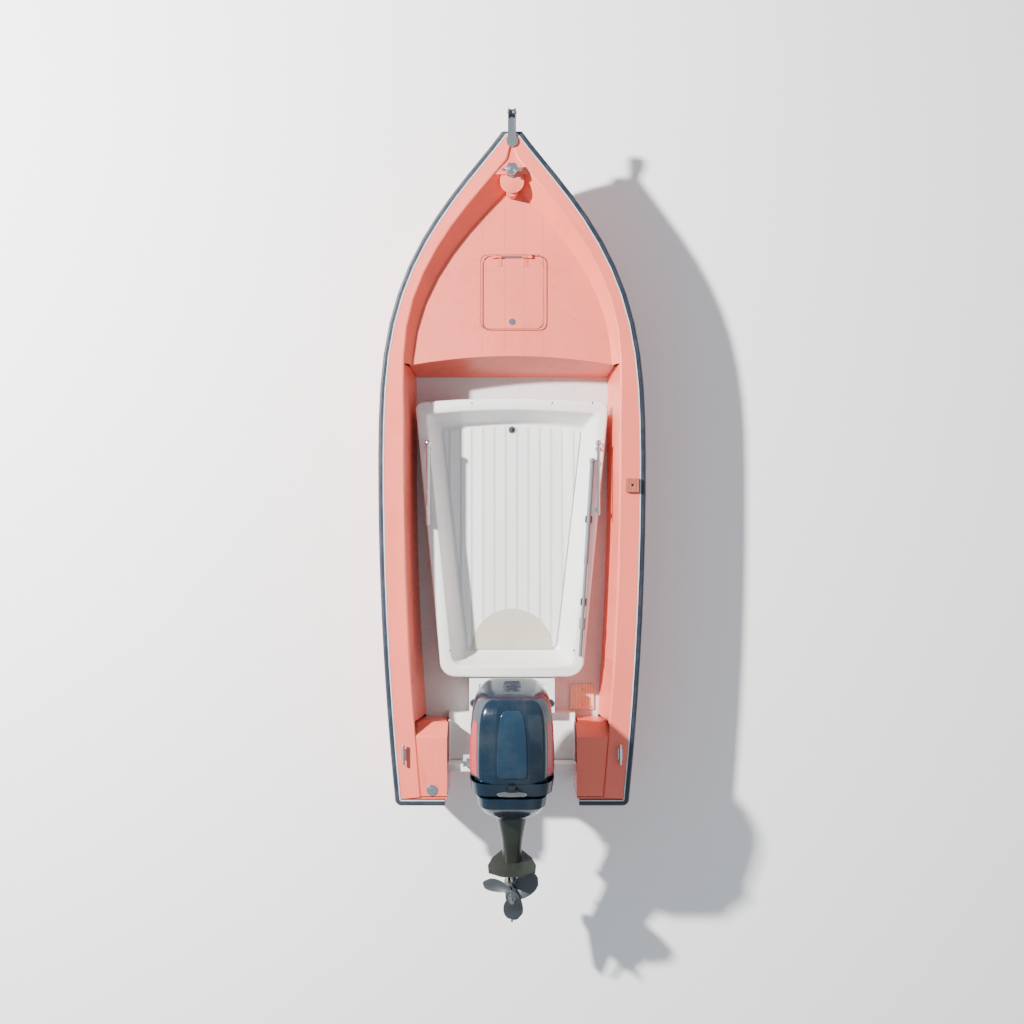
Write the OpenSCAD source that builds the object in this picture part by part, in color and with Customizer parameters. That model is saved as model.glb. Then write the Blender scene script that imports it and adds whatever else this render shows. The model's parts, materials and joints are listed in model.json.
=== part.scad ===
// Open fibreglass skiff with a pointed bow, a drop-in cockpit tub and a tilted outboard motor.
// Millimetres. +X starboard, +Y bow, +Z up. The origin is on the centreline, under the keel
// strip, at half the hull's length. Stations are measured aft from the bow tip.

/* [Hull] */
// Length over the rub rail, bow to stern
hull_len = 4100; // [3600:10:4900]
// Beam over the rub rail
beam = 1640; // [1450:10:1900]
// Deck height above the ground, from amidships aft
deck_z = 600; // [560:5:720]
// Extra deck height at the bow
bow_rise = 110; // [60:5:150]
// Laminate thickness of the hull
hull_wall = 10; // [6:1:14]
// Width of the flat keel pad
pad_w = 220; // [160:5:300]
// Height of the chine above the keel, amidships
chine_z = 120; // [90:5:150]
// Thickness of the wear strip under the keel
strip_t = 6; // [4:1:12]

/* [Deck] */
// Thickness of the deck moulding
deck_t = 8; // [5:1:12]
// Height of the foredeck above the ground
foredeck_z = 550; // [500:5:555]
// Height of the cockpit sole above the ground
sole_z = 200; // [180:5:230]
// Thickness of the rub rail
rail_t = 40; // [25:1:50]
// Width of the side deck amidships, rub rail included
side_deck = 164; // [140:2:190]
// How far the cockpit sides lean inward at the bottom
side_draft = 52; // [30:1:70]

/* [Hatch] */
// Width of the foredeck hatch
hatch_w = 385; // [300:5:450]
// Length of the foredeck hatch
hatch_l = 428; // [320:4:480]
// Height of the hatch lid above the foredeck
hatch_rise = 3; // [2:0.5:8]

/* [Tub] */
// Half width of the tub at its forward end
tub_fore = 600; // [520:5:610]
// Half width of the tub at its after end
tub_aft = 450; // [380:5:500]
// Height of the tub rim above the ground
tub_z = 420; // [360:5:480]
// Width of the tub rim
tub_rim = 76; // [50:1:90]

/* [Stern] */
// Distance from the stern to the transom
notch_l = 200; // [150:5:260]
// Half width of the motor notch
notch_w = 397; // [370:1:430]
// Thickness of the transom
transom_t = 45; // [35:1:60]
// Height of the transom above the ground
transom_z = 520; // [480:5:560]

/* [Outboard] */
// Angle of the motor from its running position, as parked
tilt = 72; // [60:1:74]
// Radius of the tilt tube
tilt_r = 16; // [12:0.5:20]
// Running clearance on a radius
run_gap = 0.05; // [0.02:0.01:0.1]
// Half width of the motor cowl
cowl_w = 248; // [200:2:260]
// Distance from the tilt tube down to the propeller shaft
prop_drop = 700; // [640:5:760]
// Radius of the propeller
prop_r = 190; // [150:2:200]
// Radius of the propeller shaft
shaft_r = 12; // [9:0.5:15]

/* [Hidden] */

gap = 0.4;
half_beam = beam/2;
keel_z = strip_t;
stern_y = -hull_len/2;
transom_y = stern_y + notch_l;

// Outline of the rub rail: a full bow, then a slow taper to the stern
bow_run = 2284;
bow_lead = 112.6;
bow_full = 3.465;
bow_flare = 1.412;
mid_s = 2000;
stern_tuck = 107;

function smooth(t) = let(c = min(1, max(0, t))) c*c*(3 - 2*c);
function mix(a, b, t) = a + (b - a)*t;
function half(s) = half_beam*pow(1 - pow(1 - min(1, (s + bow_lead)/bow_run), bow_full), bow_flare)
    - stern_tuck*pow(max(0, s - mid_s)/(hull_len - mid_s), 2);
function slope(s) = (half(s + 2) - half(s))/2;
// Point that lies d inside the outline, at station s
function edge(s, d) = let(k = slope(s), n = sqrt(1 + k*k))
    [half(s) - d/n, hull_len/2 - s - d*k/n];
function sheer(s) = deck_z + bow_rise*pow(max(0, 1 - 2*s/hull_len), 2);

// Closed skin over rings of equal length, with flat ends
module skin(rings) {
    n = len(rings[0]);
    m = len(rings);
    polyhedron(
        points = [for (r = rings) each r],
        faces = concat(
            [[for (j = [0:n - 1]) j]],
            [for (i = [0:m - 2], j = [0:n - 1]) each let(a = i*n + j, b = i*n + (j + 1) % n)
                [[a, a + n, b], [b, a + n, b + n]]],
            [[for (j = [n - 1:-1:0]) (m - 1)*n + j]]),
        convexity = 8);
}
function flip(p) = [-p[0], p[1], p[2]];
function turned(list) = [for (i = [len(list) - 1:-1:0]) list[i]];
module both_sides() {
    children();
    mirror([1, 0, 0]) children();
}

// ---------------------------------------------------------------- hull
hull_end = hull_len - rail_t;
hull_n = 22;
hull_s = [for (i = [0:hull_n]) hull_end*pow(i/hull_n, 1.6)];
fore_run = 1900;
fore_foot = 1300;
fore_rise = 330;
bow_chine_rise = 400;
stem_rake = 420;
chine_flat = 22;
side_bulge = 14;
rim_gap = deck_t + 0.9;

// Half section of the hull from keel to sheer, o inside the outer skin
function section(s, o) = let(
    e = edge(s, rail_t + o),
    zs = sheer(s) - rim_gap,
    f = min(1, s/fore_run),
    zk = keel_z + fore_rise*pow(1 - min(1, s/fore_foot), 2.2) + o,
    zc = keel_z + chine_z + bow_chine_rise*pow(1 - f, 2) + o,
    bc = e[0]*(0.88 - 0.42*pow(1 - f, 1.5)),
    pad = min(pad_w/2, bc/2),
    bo = bc + chine_flat*min(1, s/600)*min(1, e[0]/300),
    rake = stem_rake*pow(1 - min(1, s/1500), 2),
    y0 = e[1] + o*(2*s/hull_end - 1),
    xz = [[pad, zk], [(pad + bc)/2, mix(zk, zc, 0.44)], [bc, zc], [bo, zc + 3],
        [mix(bo, e[0], 0.33) + side_bulge*f, mix(zc + 3, zs, 0.33)],
        [mix(bo, e[0], 0.66) + side_bulge*f, mix(zc + 3, zs, 0.66)], [e[0], zs]])
    [for (p = xz) [p[0], y0 - rake*pow(1 - min(1, p[1]/zs), 1.4), p[1]]];
function full_section(s, o) = let(h = section(s, o)) concat(turned([for (p = h) flip(p)]), h);

module hull_surface() {
    outer = [for (s = hull_s) each full_section(s, 0)];
    inner = [for (s = hull_s) each full_section(s, hull_wall)];
    n = 14;
    m = len(hull_s);
    k = n*m;
    polyhedron(
        points = concat(outer, inner),
        faces = concat(
            [for (i = [0:m - 2], j = [0:n - 2]) each let(a = i*n + j)
                [[a, a + n, a + 1], [a + 1, a + n, a + n + 1]]],
            [for (i = [0:m - 2], j = [0:n - 2]) each let(a = k + i*n + j)
                [[a, a + 1, a + n], [a + 1, a + n + 1, a + n]]],
            [for (i = [0:m - 2]) each let(a = i*n)
                [[a, a + k, a + n], [a + n, a + k, a + n + k]]],
            [for (i = [0:m - 2]) each let(a = i*n + n - 1)
                [[a, a + n, a + k], [a + n, a + n + k, a + k]]],
            [[for (j = [0:n - 1]) j], [for (j = [n - 1:-1:0]) k + j],
                [0, n - 1, k + n - 1, k],
                [for (j = [n - 1:-1:0]) (m - 1)*n + j],
                [for (j = [0:n - 1]) k + (m - 1)*n + j],
                [(m - 1)*n, k + (m - 1)*n, k + m*n - 1, m*n - 1]]),
        convexity = 10);
}

module hull_shell() {
    color("salmon") difference() {
        hull_surface();
        translate([-notch_w, stern_y - 10, -10]) cube([2*notch_w, notch_l + 10, deck_z + 50]);
    }
}

strip_fore = 950;
module keel_strip() {
    color("dimgray") translate([-pad_w/2 + 8, transom_y + 4, 0])
        cube([pad_w - 16, strip_fore - transom_y, strip_t]);
}

// Height of the inside of the bottom at half breadth x, near the stern
stern_section = section(hull_end, hull_wall);
function bottom_z(x) = lookup(x, [[0, stern_section[0][2]], for (i = [0:2])
    [stern_section[i][0], stern_section[i][2]]]);

stringer_x = 300;
stringer_t = 28;
stringer_fore = 400;
module stringers() {
    color("burlywood") both_sides() translate([0, stringer_fore, 0]) rotate([90, 0, 0])
        linear_extrude(stringer_fore - transom_y - transom_t - 10)
            polygon([[stringer_x, bottom_z(stringer_x + stringer_t) + 6],
                [stringer_x + stringer_t, bottom_z(stringer_x + stringer_t) + 6],
                [stringer_x + stringer_t, sole_z - sole_t - gap], [stringer_x, sole_z - sole_t - gap]]);
}

sponson_t = 10;
sponson_aft = stern_y + rail_t + hull_wall + 10;
module sponson_walls() {
    color("salmon") both_sides() translate([0, transom_y - gap, 0]) rotate([90, 0, 0])
        linear_extrude(transom_y - sponson_aft - gap)
            polygon([[notch_w, bottom_z(notch_w) + 3],
                [notch_w + sponson_t, bottom_z(notch_w + sponson_t) + 3],
                [notch_w + sponson_t, deck_z - deck_t - gap], [notch_w, deck_z - deck_t - gap]]);
}

// The transom reaches from the bottom to the clamp brackets, with low shoulders at each side
module transom_board() {
    low = bottom_z(notch_w) + 6;
    x = notch_w - gap;
    color("mistyrose") difference() {
        translate([0, transom_y + transom_t, 0]) rotate([90, 0, 0]) linear_extrude(transom_t)
            polygon([[-pad_w/2, keel_z + hull_wall + 4], [pad_w/2, keel_z + hull_wall + 4],
                [x, low], [x, transom_z], [-x, transom_z], [-x, low]]);
        at_pivot() for_bolts() translate([0, 0, -20]) cylinder(r = 6.3, h = 100);
    }
}

// ---------------------------------------------------------------- deck
flange_s = [for (i = [1:hull_n]) hull_s[i]];
foredeck_aft_y = 669;
foredeck_arc = 55;
bulk_s = hull_len/2 - foredeck_aft_y;
round_r = 12;
wall_t = 8;
sole_t = 12;

// Width of the side deck: narrow beside the foredeck, full beside the cockpit
function side_w(s) = 108 + 23*(1 - smooth(s/900)) + (side_deck - 108)*smooth((s - 950)/900);
function step_run(s) = 0.72*(sheer(s) - foredeck_z);

// The two side decks meet on the centreline at the stem
meet_s = 50;
bow_ease = 1;
function deck_under(s) = sheer(s) - deck_t + bow_ease*max(0, 1 - s/300);
function flange_ring(s) = let(z = sheer(s), a = edge(s, rail_t + gap), w = side_w(s),
    tight = s < meet_s,
    b1 = tight ? [1.5, a[1]] : edge(s, w - round_r), b2 = tight ? [1, a[1]] : edge(s, w - round_r*0.3),
    b3 = tight ? [0.5, a[1]] : edge(s, w))
    [[a[0], a[1], z], [b1[0], b1[1], z], [b2[0], b2[1], z - round_r*0.3], [b3[0], b3[1], z - round_r],
        [b1[0], b1[1], z - round_r], [b1[0] + 1, b1[1], deck_under(s)], [a[0], a[1], deck_under(s)]];
function wall_ring(s, z1, run) = let(w = side_w(s), z0 = sheer(s) - round_r,
    b = edge(s, w), bo = edge(s, w - wall_t), c = edge(s, w + run), co = edge(s, w + run - wall_t))
    [[b[0], b[1], z0], [c[0], c[1], z1], [co[0], co[1], z1], [bo[0], bo[1], z0]];

box_fore_y = stern_y + 501;
box_top_y = stern_y + 434;
wall_aft_s = hull_len/2 - box_fore_y - 2;
step_s = [for (i = [0:10]) mix(130, bulk_s - 4, pow(i/10, 0.9))];
side_s = [for (i = [0:12]) mix(bulk_s + 2, wall_aft_s, i/12)];

module deck_moulding() {
    color("salmon") {
        both_sides() {
            skin([for (s = flange_s) flange_ring(s)]);
            skin([for (s = step_s) wall_ring(s, foredeck_z + gap, step_run(s))]);
            skin([for (s = side_s) wall_ring(s, sole_z + gap, side_draft)]);
        }
        breasthook();
    }
}
// Plate that closes the deck at the stem, ahead of the two side decks
module breasthook() {
    s1 = hull_s[1];
    a0 = edge(0, rail_t + gap);
    a1 = edge(s1, rail_t + gap);
    skin([for (q = [[a0, 0], [a1 + [0, gap], s1]]) let(p = q[0], z = sheer(q[1]), low = deck_under(q[1]))
        [[p[0], p[1], z], [p[0], p[1], low], [-p[0], p[1], low], [-p[0], p[1], z]]]);
}

fore_apex_s = 152;
fore_s = [for (i = [0:14]) mix(fore_apex_s, bulk_s, pow(i/14, 0.9))];
function fore_edge(s) = edge(s, side_w(s) + step_run(s) - wall_t + gap);
hatch_y = 1083;
hatch_r = 55;
module rounded(w, l, r) {
    for (x = [-1, 1], y = [-1, 1]) translate([x*(w/2 - r), y*(l/2 - r)]) circle(r, $fn = 40);
    square([w - 2*r, l], center = true);
    square([w, l - 2*r], center = true);
}
module foredeck() {
    side = [for (s = fore_s) fore_edge(s)];
    end = side[len(side) - 1];
    arc = [for (i = [1:11]) let(t = 1 - i/6) [end[0]*t, end[1] + foredeck_arc*(1 - t*t)]];
    color("salmon") translate([0, 0, foredeck_z - deck_t]) linear_extrude(deck_t) difference() {
        polygon(concat(side, arc, [for (p = turned(side)) [-p[0], p[1]]]));
        translate([0, hatch_y]) rounded(hatch_w - 30, hatch_l - 30, hatch_r - 15);
    }
}

bulk_foot_y = 600;
module bulkhead() {
    top = foredeck_z - deck_t - gap;
    low = sole_z + gap;
    xt = edge(bulk_s, side_w(bulk_s))[0] - 12;
    xb = edge(bulk_s + 60, side_w(bulk_s + 60) + side_draft)[0] - 4;
    color("indianred") skin([for (i = [0:12]) let(t = i/6 - 1, y = foredeck_aft_y + foredeck_arc*(1 - t*t))
        [[xt*t, y + 2, top], [xt*t, y + 2 + wall_t, top], [xb*t, bulk_foot_y + wall_t, low],
            [xb*t, bulk_foot_y, low]]]);
}

tank_y = 770;
tank_l = 300;
sole_s = [for (i = [0:12]) mix(bulk_s - 30, hull_len/2 - transom_y - transom_t - 4, i/12)];
module cockpit_sole() {
    side = [for (s = sole_s) edge(s, side_w(s) + side_draft - wall_t + 1)];
    color("whitesmoke") translate([0, 0, sole_z - sole_t]) linear_extrude(sole_t)
        union() {
            polygon(concat(side, [for (p = turned(side)) [-p[0], p[1]]]));
            translate([-230, foredeck_aft_y]) square([460, tank_y + tank_l + 20 - foredeck_aft_y]);
        }
}

// Closed buoyancy box at each quarter, with a sloped front. Its lid laps over the sponson wall
box_aft_y = sponson_aft;
box_low = sole_z + 15;
box_slope = 120;
box_round = 14;
function box_out(y) = edge(hull_len/2 - y, side_w(hull_len/2 - y))[0] - 2;
function box_ring(y, z, lap) = let(xo = box_out(y), xi = notch_w + sponson_t + gap, zl = z - deck_t)
    [[notch_w - lap, y, z], [xo, y, z], [xo, y, zl], [xo - 12, y, box_low], [xi, y, box_low],
        [xi, y, zl], [notch_w - lap, y, zl]];
module quarter_box() {
    skin([box_ring(box_fore_y, deck_z - box_slope, 2), box_ring(box_top_y, deck_z - box_round, 2),
        box_ring(box_top_y - box_round, deck_z, 2), box_ring(mix(box_top_y, box_aft_y, 0.5), deck_z, 2),
        box_ring(box_aft_y, deck_z, 2)]);
}
filler_x = -489;
filler_y = -1952;
neck_r = 24;
neck_l = 70;
module quarter_box_port() {
    color("salmon") difference() {
        mirror([1, 0, 0]) quarter_box();
        translate([filler_x, filler_y, deck_z - neck_l - 2]) cylinder(r = neck_r + 0.5, h = neck_l + 10);
    }
}
limber_r = 6;
module quarter_box_starboard() {
    color("salmon") difference() {
        quarter_box();
        translate([notch_w + 80, box_fore_y + 5, box_low + 30]) rotate([90, 0, 0])
            cylinder(r = limber_r, h = 45);
    }
}

// ---------------------------------------------------------------- rub rail
rail_drop = 56;
corner_r = rail_t + 3;
hull_corner = [edge(hull_end, rail_t)[0], stern_y + rail_t];
function rail_side(d) = [for (i = [len(hull_s) - 1:-1:0]) if (hull_s[i] < hull_end - 60 || i == 0)
    edge(hull_s[i], d)];
function rail_corner(d) = [for (a = [-80:20:-10])
    let(r = rail_t + 4 - d) [hull_corner[0] - 3 + r*cos(a), hull_corner[1] + 3 + r*sin(a)]];
function rail_path(d) = let(p = concat([[notch_w + sponson_t + 4, hull_corner[1] + 3 - (rail_t + 4 - d)]],
    rail_corner(d), rail_side(d))) concat(p, [for (q = turned(p)) [-q[0], q[1]]]);
function path_sheer(y) = sheer(min(hull_end, max(0, hull_len/2 - y)));
// Section of the rail as [depth inside the outline, drop below the deck edge]
rail_section = [[rail_t - 0.8, 3], [10, 3], [3, 10], [0, 22], [2, 38], [10, rail_drop - 6],
    [rail_t - 0.8, rail_drop]];
module swept_rail(profile) {
    paths = [for (p = profile) rail_path(p[0])];
    skin([for (i = [0:len(paths[0]) - 1]) [for (j = [0:len(profile) - 1])
        [paths[j][i][0], paths[j][i][1], path_sheer(paths[0][i][1]) - profile[j][1]]]]);
}
module rub_rail() {
    color("midnightblue") swept_rail(rail_section);
}
module rub_rail_insert() {
    color("lightgray") swept_rail([[rail_t - 1, 2.6], [rail_t - 1, -1.5], [rail_t - 9, -1.5],
        [rail_t - 9, 2.6]]);
}

// ---------------------------------------------------------------- bow
// Raised block at the stem: a thick plate between the side decks, on a round post
pedestal_w = 146;
pedestal_aft = 1680;
pedestal_z = sheer(hull_len/2 - pedestal_aft) - 2;
pedestal_t = 24;
post_r = 36;
post_y = 1700;
pedestal_s = [for (i = [0:9]) mix(96, 240, i/9)];
function pedestal_edge(s) = let(e = edge(s, side_w(s) + 0.72*(sheer(s) - pedestal_z + pedestal_t) + 1))
    [min(pedestal_w/2, max(1, e[0])), e[1]];
module bow_pedestal() {
    side = [for (s = pedestal_s) pedestal_edge(s)];
    color("lightsalmon") {
        translate([0, 0, pedestal_z - pedestal_t]) linear_extrude(pedestal_t) union() {
            translate([0, pedestal_aft + pedestal_w/2]) circle(pedestal_w/2, $fn = 60);
            polygon(concat([[pedestal_w/2, pedestal_aft + pedestal_w/2]], turned(side),
                [for (p = side) [-p[0], p[1]]], [[-pedestal_w/2, pedestal_aft + pedestal_w/2]]));
        }
        translate([0, post_y, foredeck_z + gap])
            cylinder(r = post_r, h = pedestal_z - foredeck_z - pedestal_t);
    }
}
bollard_y = 1812;
module bollard() {
    color("silver") translate([0, bollard_y, pedestal_z + gap]) {
        cylinder(r = 40, h = 8, $fn = 60);
        cylinder(r = 26, h = 78, $fn = 60);
        translate([0, 0, 70]) cylinder(r = 40, h = 14, $fn = 6);
        translate([0, 0, 84]) cylinder(r1 = 34, r2 = 12, h = 16, $fn = 60);
        translate([-62, 0, 46]) rotate([0, 90, 0]) cylinder(r = 9, h = 124, $fn = 40);
    }
}
roller_y = hull_len/2 + 100;
roller_r = 24;
stem_z = deck_z + bow_rise;
cheek_x = 21;
module stem_fitting() {
    color("silver") {
        translate([-cheek_x - 4, hull_len/2 - 62, stem_z + gap]) cube([2*cheek_x + 8, 190, 7]);
        for (x = [-cheek_x - 4, cheek_x - 1]) difference() {
            translate([x, 0, 0]) rotate([90, 0, 90]) linear_extrude(5)
                polygon([[hull_len/2 - 40, stem_z + 7], [hull_len/2 + 128, stem_z + 7],
                    [hull_len/2 + 128, stem_z + 46], [hull_len/2 + 70, stem_z + 54],
                    [hull_len/2 - 10, stem_z + 20]]);
            translate([x - 1, roller_y, stem_z + 36]) rotate([0, 90, 0]) cylinder(r = 6 + run_gap, h = 8);
        }
        translate([0, hull_len/2 - 62, stem_z + gap]) cylinder(r = 36, h = 7, $fn = 60);
    }
}
module roller_pin() {
    color("gray") translate([-cheek_x - 8, roller_y, stem_z + 36]) rotate([0, 90, 0]) {
        cylinder(r = 6, h = 2*cheek_x + 16);
        cylinder(r = 9, h = 3.5);
        translate([0, 0, 2*cheek_x + 12.5]) cylinder(r = 9, h = 3.5);
    }
}
module anchor_roller() {
    color("black") translate([-cheek_x + 2, roller_y, stem_z + 36]) rotate([0, 90, 0]) rotate_extrude($fn = 60)
        polygon([[6 + run_gap, 0], [roller_r, 0], [roller_r, 4], [15, cheek_x - 2], [roller_r, 2*cheek_x - 8],
            [roller_r, 2*cheek_x - 4], [6 + run_gap, 2*cheek_x - 4]]);
}

// ---------------------------------------------------------------- foredeck hatch
lid_gap = 3;
frame_w = 15;
hinge_r = 5;
hinge_y = hatch_y + hatch_l/2 + 14;
hinge_z = foredeck_z + 12;
module hatch_frame() {
    color("salmon") difference() {
        union() {
            translate([0, hatch_y, foredeck_z - deck_t - 20]) linear_extrude(20 - gap)
                rounded(hatch_w + 20, hatch_l + 20, hatch_r + 10);
            for (x = [-110, 110]) translate([x - 12, hinge_y - 9, foredeck_z + gap]) cube([24, 24, 18]);
        }
        translate([0, hatch_y, foredeck_z - deck_t - 30]) linear_extrude(40)
            rounded(hatch_w - 60, hatch_l - 60, hatch_r - 30);
        for (x = [-110, 110]) translate([x - 15, hinge_y, hinge_z]) rotate([0, 90, 0])
            cylinder(r = hinge_r + run_gap, h = 30);
    }
}
module hatch_lid() {
    color("salmon") difference() {
        union() {
            translate([0, hatch_y, foredeck_z + gap]) linear_extrude(hatch_rise) rounded(hatch_w, hatch_l, hatch_r);
            translate([0, hatch_y, foredeck_z - deck_t + gap]) linear_extrude(deck_t)
                rounded(hatch_w - 36, hatch_l - 36, hatch_r - 18);
            for (x = [-80, 80]) {
                translate([x - 17, hinge_y - 60, foredeck_z + gap]) cube([34, 60, 6]);
                translate([x - 17, hinge_y, hinge_z]) rotate([0, 90, 0]) cylinder(r = 9, h = 34);
            }
        }
        for (x = [-80, 80]) translate([x - 18, hinge_y, hinge_z]) rotate([0, 90, 0])
            cylinder(r = hinge_r + run_gap, h = 36);
        translate([0, hatch_y - hatch_l/2 + 45, foredeck_z - 20]) cylinder(r = 12.5, h = 40);
    }
}
module hatch_hinge() {
    color("silver") translate([-124, hinge_y, hinge_z]) rotate([0, 90, 0]) cylinder(r = hinge_r, h = 248);
}
latch_y = hatch_y - hatch_l/2 + 45;
module hatch_latch() {
    color("silver") translate([0, latch_y, foredeck_z + hatch_rise + 2*gap]) {
        cylinder(r = 20, h = 3, $fn = 60);
        translate([0, 0, -34]) cylinder(r = 12, h = 34);
        translate([-12, -6, -40]) cube([46, 12, 6]);
        translate([-3, -16, 3]) cube([6, 32, 5]);
    }
}
module fuel_tank() {
    color("firebrick") translate([-200, tank_y, sole_z + gap]) {
        cube([400, tank_l, 220]);
        translate([200, tank_l/2, 220]) cylinder(r = 35, h = 18);
    }
}

// ---------------------------------------------------------------- tub
tub_fore_y = 431;
tub_len = 1711;
tub_bow = 24;
tub_deep = 34;
tub_lean = 60;
tub_skin = 9;
tub_r_fore = 45;
tub_r_aft = 100;
// Plan of the tub drawn in by d
function tub_corner(cx, cy, r, a0, a1) = [for (i = [0:6]) let(a = mix(a0, a1, i/6)) [cx + r*cos(a), cy + r*sin(a)]];
function tub_loop(d, z) = let(
    wf = tub_fore - d, wa = tub_aft - d, yf = tub_fore_y - d, ya = tub_fore_y - tub_len + d,
    rf = max(20, tub_r_fore - d*0.2), ra = max(40, tub_r_aft - d*0.5),
    right = concat(tub_corner(wa - ra, ya + ra, ra, -90, 5), tub_corner(wf - rf, yf - rf, rf, 5, 90)),
    front = [for (t = [0.6, 0.2, -0.2, -0.6]) [(wf - rf)*t, yf + tub_bow*(1 - t*t)]])
    [for (p = concat(right, front, [for (q = turned(right)) [-q[0], q[1]]])) [p[0], p[1], z]];
module cockpit_tub() {
    floor_z = sole_z + tub_deep;
    color("whitesmoke") skin([
        tub_loop(tub_lean + 20, sole_z + gap), tub_loop(tub_lean, sole_z + 20), tub_loop(20, tub_z - 40),
        tub_loop(4, tub_z - 34), tub_loop(0, tub_z - 12), tub_loop(3, tub_z - 3), tub_loop(12, tub_z),
        tub_loop(tub_rim - 14, tub_z), tub_loop(tub_rim - 4, tub_z - 4), tub_loop(tub_rim, tub_z - 14),
        tub_loop(tub_rim + tub_lean - 6, floor_z + 26), tub_loop(tub_rim + tub_lean + 10, floor_z + 6),
        tub_loop(tub_rim + tub_lean + 26, floor_z)]);
}
plank_w = 71.5;
plank_t = 8;
groove = 4;
floor_in = tub_rim + tub_lean + 32;
drain_y = 266;
module tub_floor() {
    z = sole_z + tub_deep + gap;
    loop = tub_loop(floor_in, 0);
    color("white") difference() {
        translate([0, 0, z]) linear_extrude(plank_t) polygon([for (p = loop) [p[0], p[1]]]);
        for (i = [-6:6]) translate([(i + 0.5)*plank_w - 6 - groove/2, -1300, z + plank_t - 3])
            cube([groove, 1760, 5]);
        translate([0, drain_y, z - 1]) cylinder(r = 24, h = 20);
    }
}
mat_r = 255;
mat_y = -1120;
module tan_mat() {
    color("tan") translate([0, mat_y, sole_z + tub_deep + plank_t + 2*gap]) linear_extrude(3) intersection() {
        circle(mat_r, $fn = 90);
        translate([-mat_r, 0]) square([2*mat_r, mat_r]);
    }
}
plug_r = 14;
module drain_ring() {
    color("silver") translate([0, drain_y, sole_z + tub_deep + gap]) difference() {
        cylinder(r = 23.5, h = plank_t + 3);
        translate([0, 0, 2]) cylinder(r = plug_r + 0.3, h = 20);
    }
}
module drain_plug() {
    color("black") translate([0, drain_y, sole_z + tub_deep + gap + 2.3]) {
        cylinder(r = plug_r, h = 12);
        translate([-3, -11, 12]) cube([6, 22, 9]);
    }
}

// ---------------------------------------------------------------- rails on the tub rim
rim_z = tub_z + gap;
function rim_x(y) = mix(tub_aft, tub_fore, (y - tub_fore_y + tub_len)/tub_len) - tub_rim/2 + 3;
module rail_foot(x, y) {
    translate([x, y, rim_z]) {
        cylinder(r = 17, h = 6, $fn = 48);
        cylinder(r = 9, h = 46, $fn = 48);
    }
}
rail_tube_z = rim_z + 46;
module grab_rail(x, y0, y1) {
    rail_foot(x, y0);
    rail_foot(x, y1);
    translate([x, y1 - 34, rail_tube_z]) rotate([-90, 0, 0]) cylinder(r = 11, h = y0 - y1 + 60);
    translate([x, y0 + 34, rail_tube_z]) sphere(r = 20, $fn = 40);
}
module grab_rails() {
    color("silver") {
        grab_rail(-rim_x(0) + 6, 140, -300);
        grab_rail(rim_x(0) + 8, 140, -240);
    }
}
hook_x0 = rim_x(50) - 34;
hook_x1 = rim_x(-1150) - 4;
hook_z = rim_z + 26;
hook_y0 = 52;
hook_y1 = -1150;
hook_lean = atan((hook_x0 - hook_x1)/(hook_y0 - hook_y1));
hook_run = (hook_y0 - hook_y1)/cos(hook_lean);
module on_hook() {
    translate([hook_x0, hook_y0, hook_z]) rotate([90, 0, -hook_lean]) children();
}
module boat_hook() {
    color("slategray") on_hook() {
        cylinder(r = 14, h = hook_run*0.52);
        translate([0, 0, hook_run*0.52]) cylinder(r = 11, h = hook_run*0.48);
        translate([0, 0, -12]) sphere(r = 19, $fn = 40);
        translate([0, 0, hook_run*0.8]) cylinder(r = 19, h = 70);
    }
}
module clip_at(run, r) {
    on_hook() translate([0, 0, run]) difference() {
        translate([-r - 8, -(hook_z - rim_z), 0]) cube([2*r + 16, hook_z - rim_z + 4, 44]);
        translate([0, 0, -1]) cylinder(r = r + 0.6, h = 50);
        translate([-r - 0.6, 0, -1]) cube([2*r + 1.2, 40, 50]);
    }
}
module hook_clips() {
    color("black") {
        clip_at(330, 14);
        clip_at(hook_run*0.7, 11);
    }
}

// ---------------------------------------------------------------- sole panel, rowlock, well
module locker_panel() {
    color("burlywood") translate([0, 0, sole_z + gap]) difference() {
        translate([370, -1505, 0]) cube([150, 160, 12]);
        for (y = [-1475, -1375]) translate([445, y, 6]) cylinder(r = 6, h = 10);
    }
}
row_x = 735;
row_y = -90;
row_r = 8;
module rowlock_block() {
    z = deck_z + gap;
    color("saddlebrown") difference() {
        translate([row_x - 40, row_y - 42, z]) cube([78, 84, 26]);
        translate([row_x, row_y, z + 4]) cylinder(r = row_r, h = 30);
    }
}
well_x = 265;
well_fore = -1288;
well_aft = -1500;
well_z = 430;
grommet_x = 236;
module well_box() {
    color("white") difference() {
        translate([-well_x, well_aft, sole_z + gap]) cube([2*well_x, well_fore - well_aft, well_z - sole_z]);
        translate([-well_x + 12, well_aft + 12, sole_z - 1])
            cube([2*well_x - 24, well_fore - well_aft - 24, well_z - sole_z - 11]);
        translate([-205, well_fore - 66, well_z - 6]) cube([410, 30, 20]);
        for (x = [-grommet_x, grommet_x]) translate([x, well_aft + 60, well_z - 30]) cylinder(r = 15, h = 60);
    }
}
module battery() {
    color("black") translate([-130, well_aft + 30, sole_z + gap]) {
        cube([260, 150, 190]);
        for (x = [40, 220]) translate([x, 40, 190]) cylinder(r = 8, h = 16);
    }
}
module cable_grommets() {
    color("black") for (x = [-grommet_x, grommet_x]) translate([x, well_aft + 60, well_z - 8]) rotate_extrude($fn = 48)
        polygon([[9, 0], [14.7, 0], [14.7, 9], [26, 9], [22, 16], [9, 16]]);
}
tray_z = 330;
tray_fore = well_aft - 12;
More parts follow.
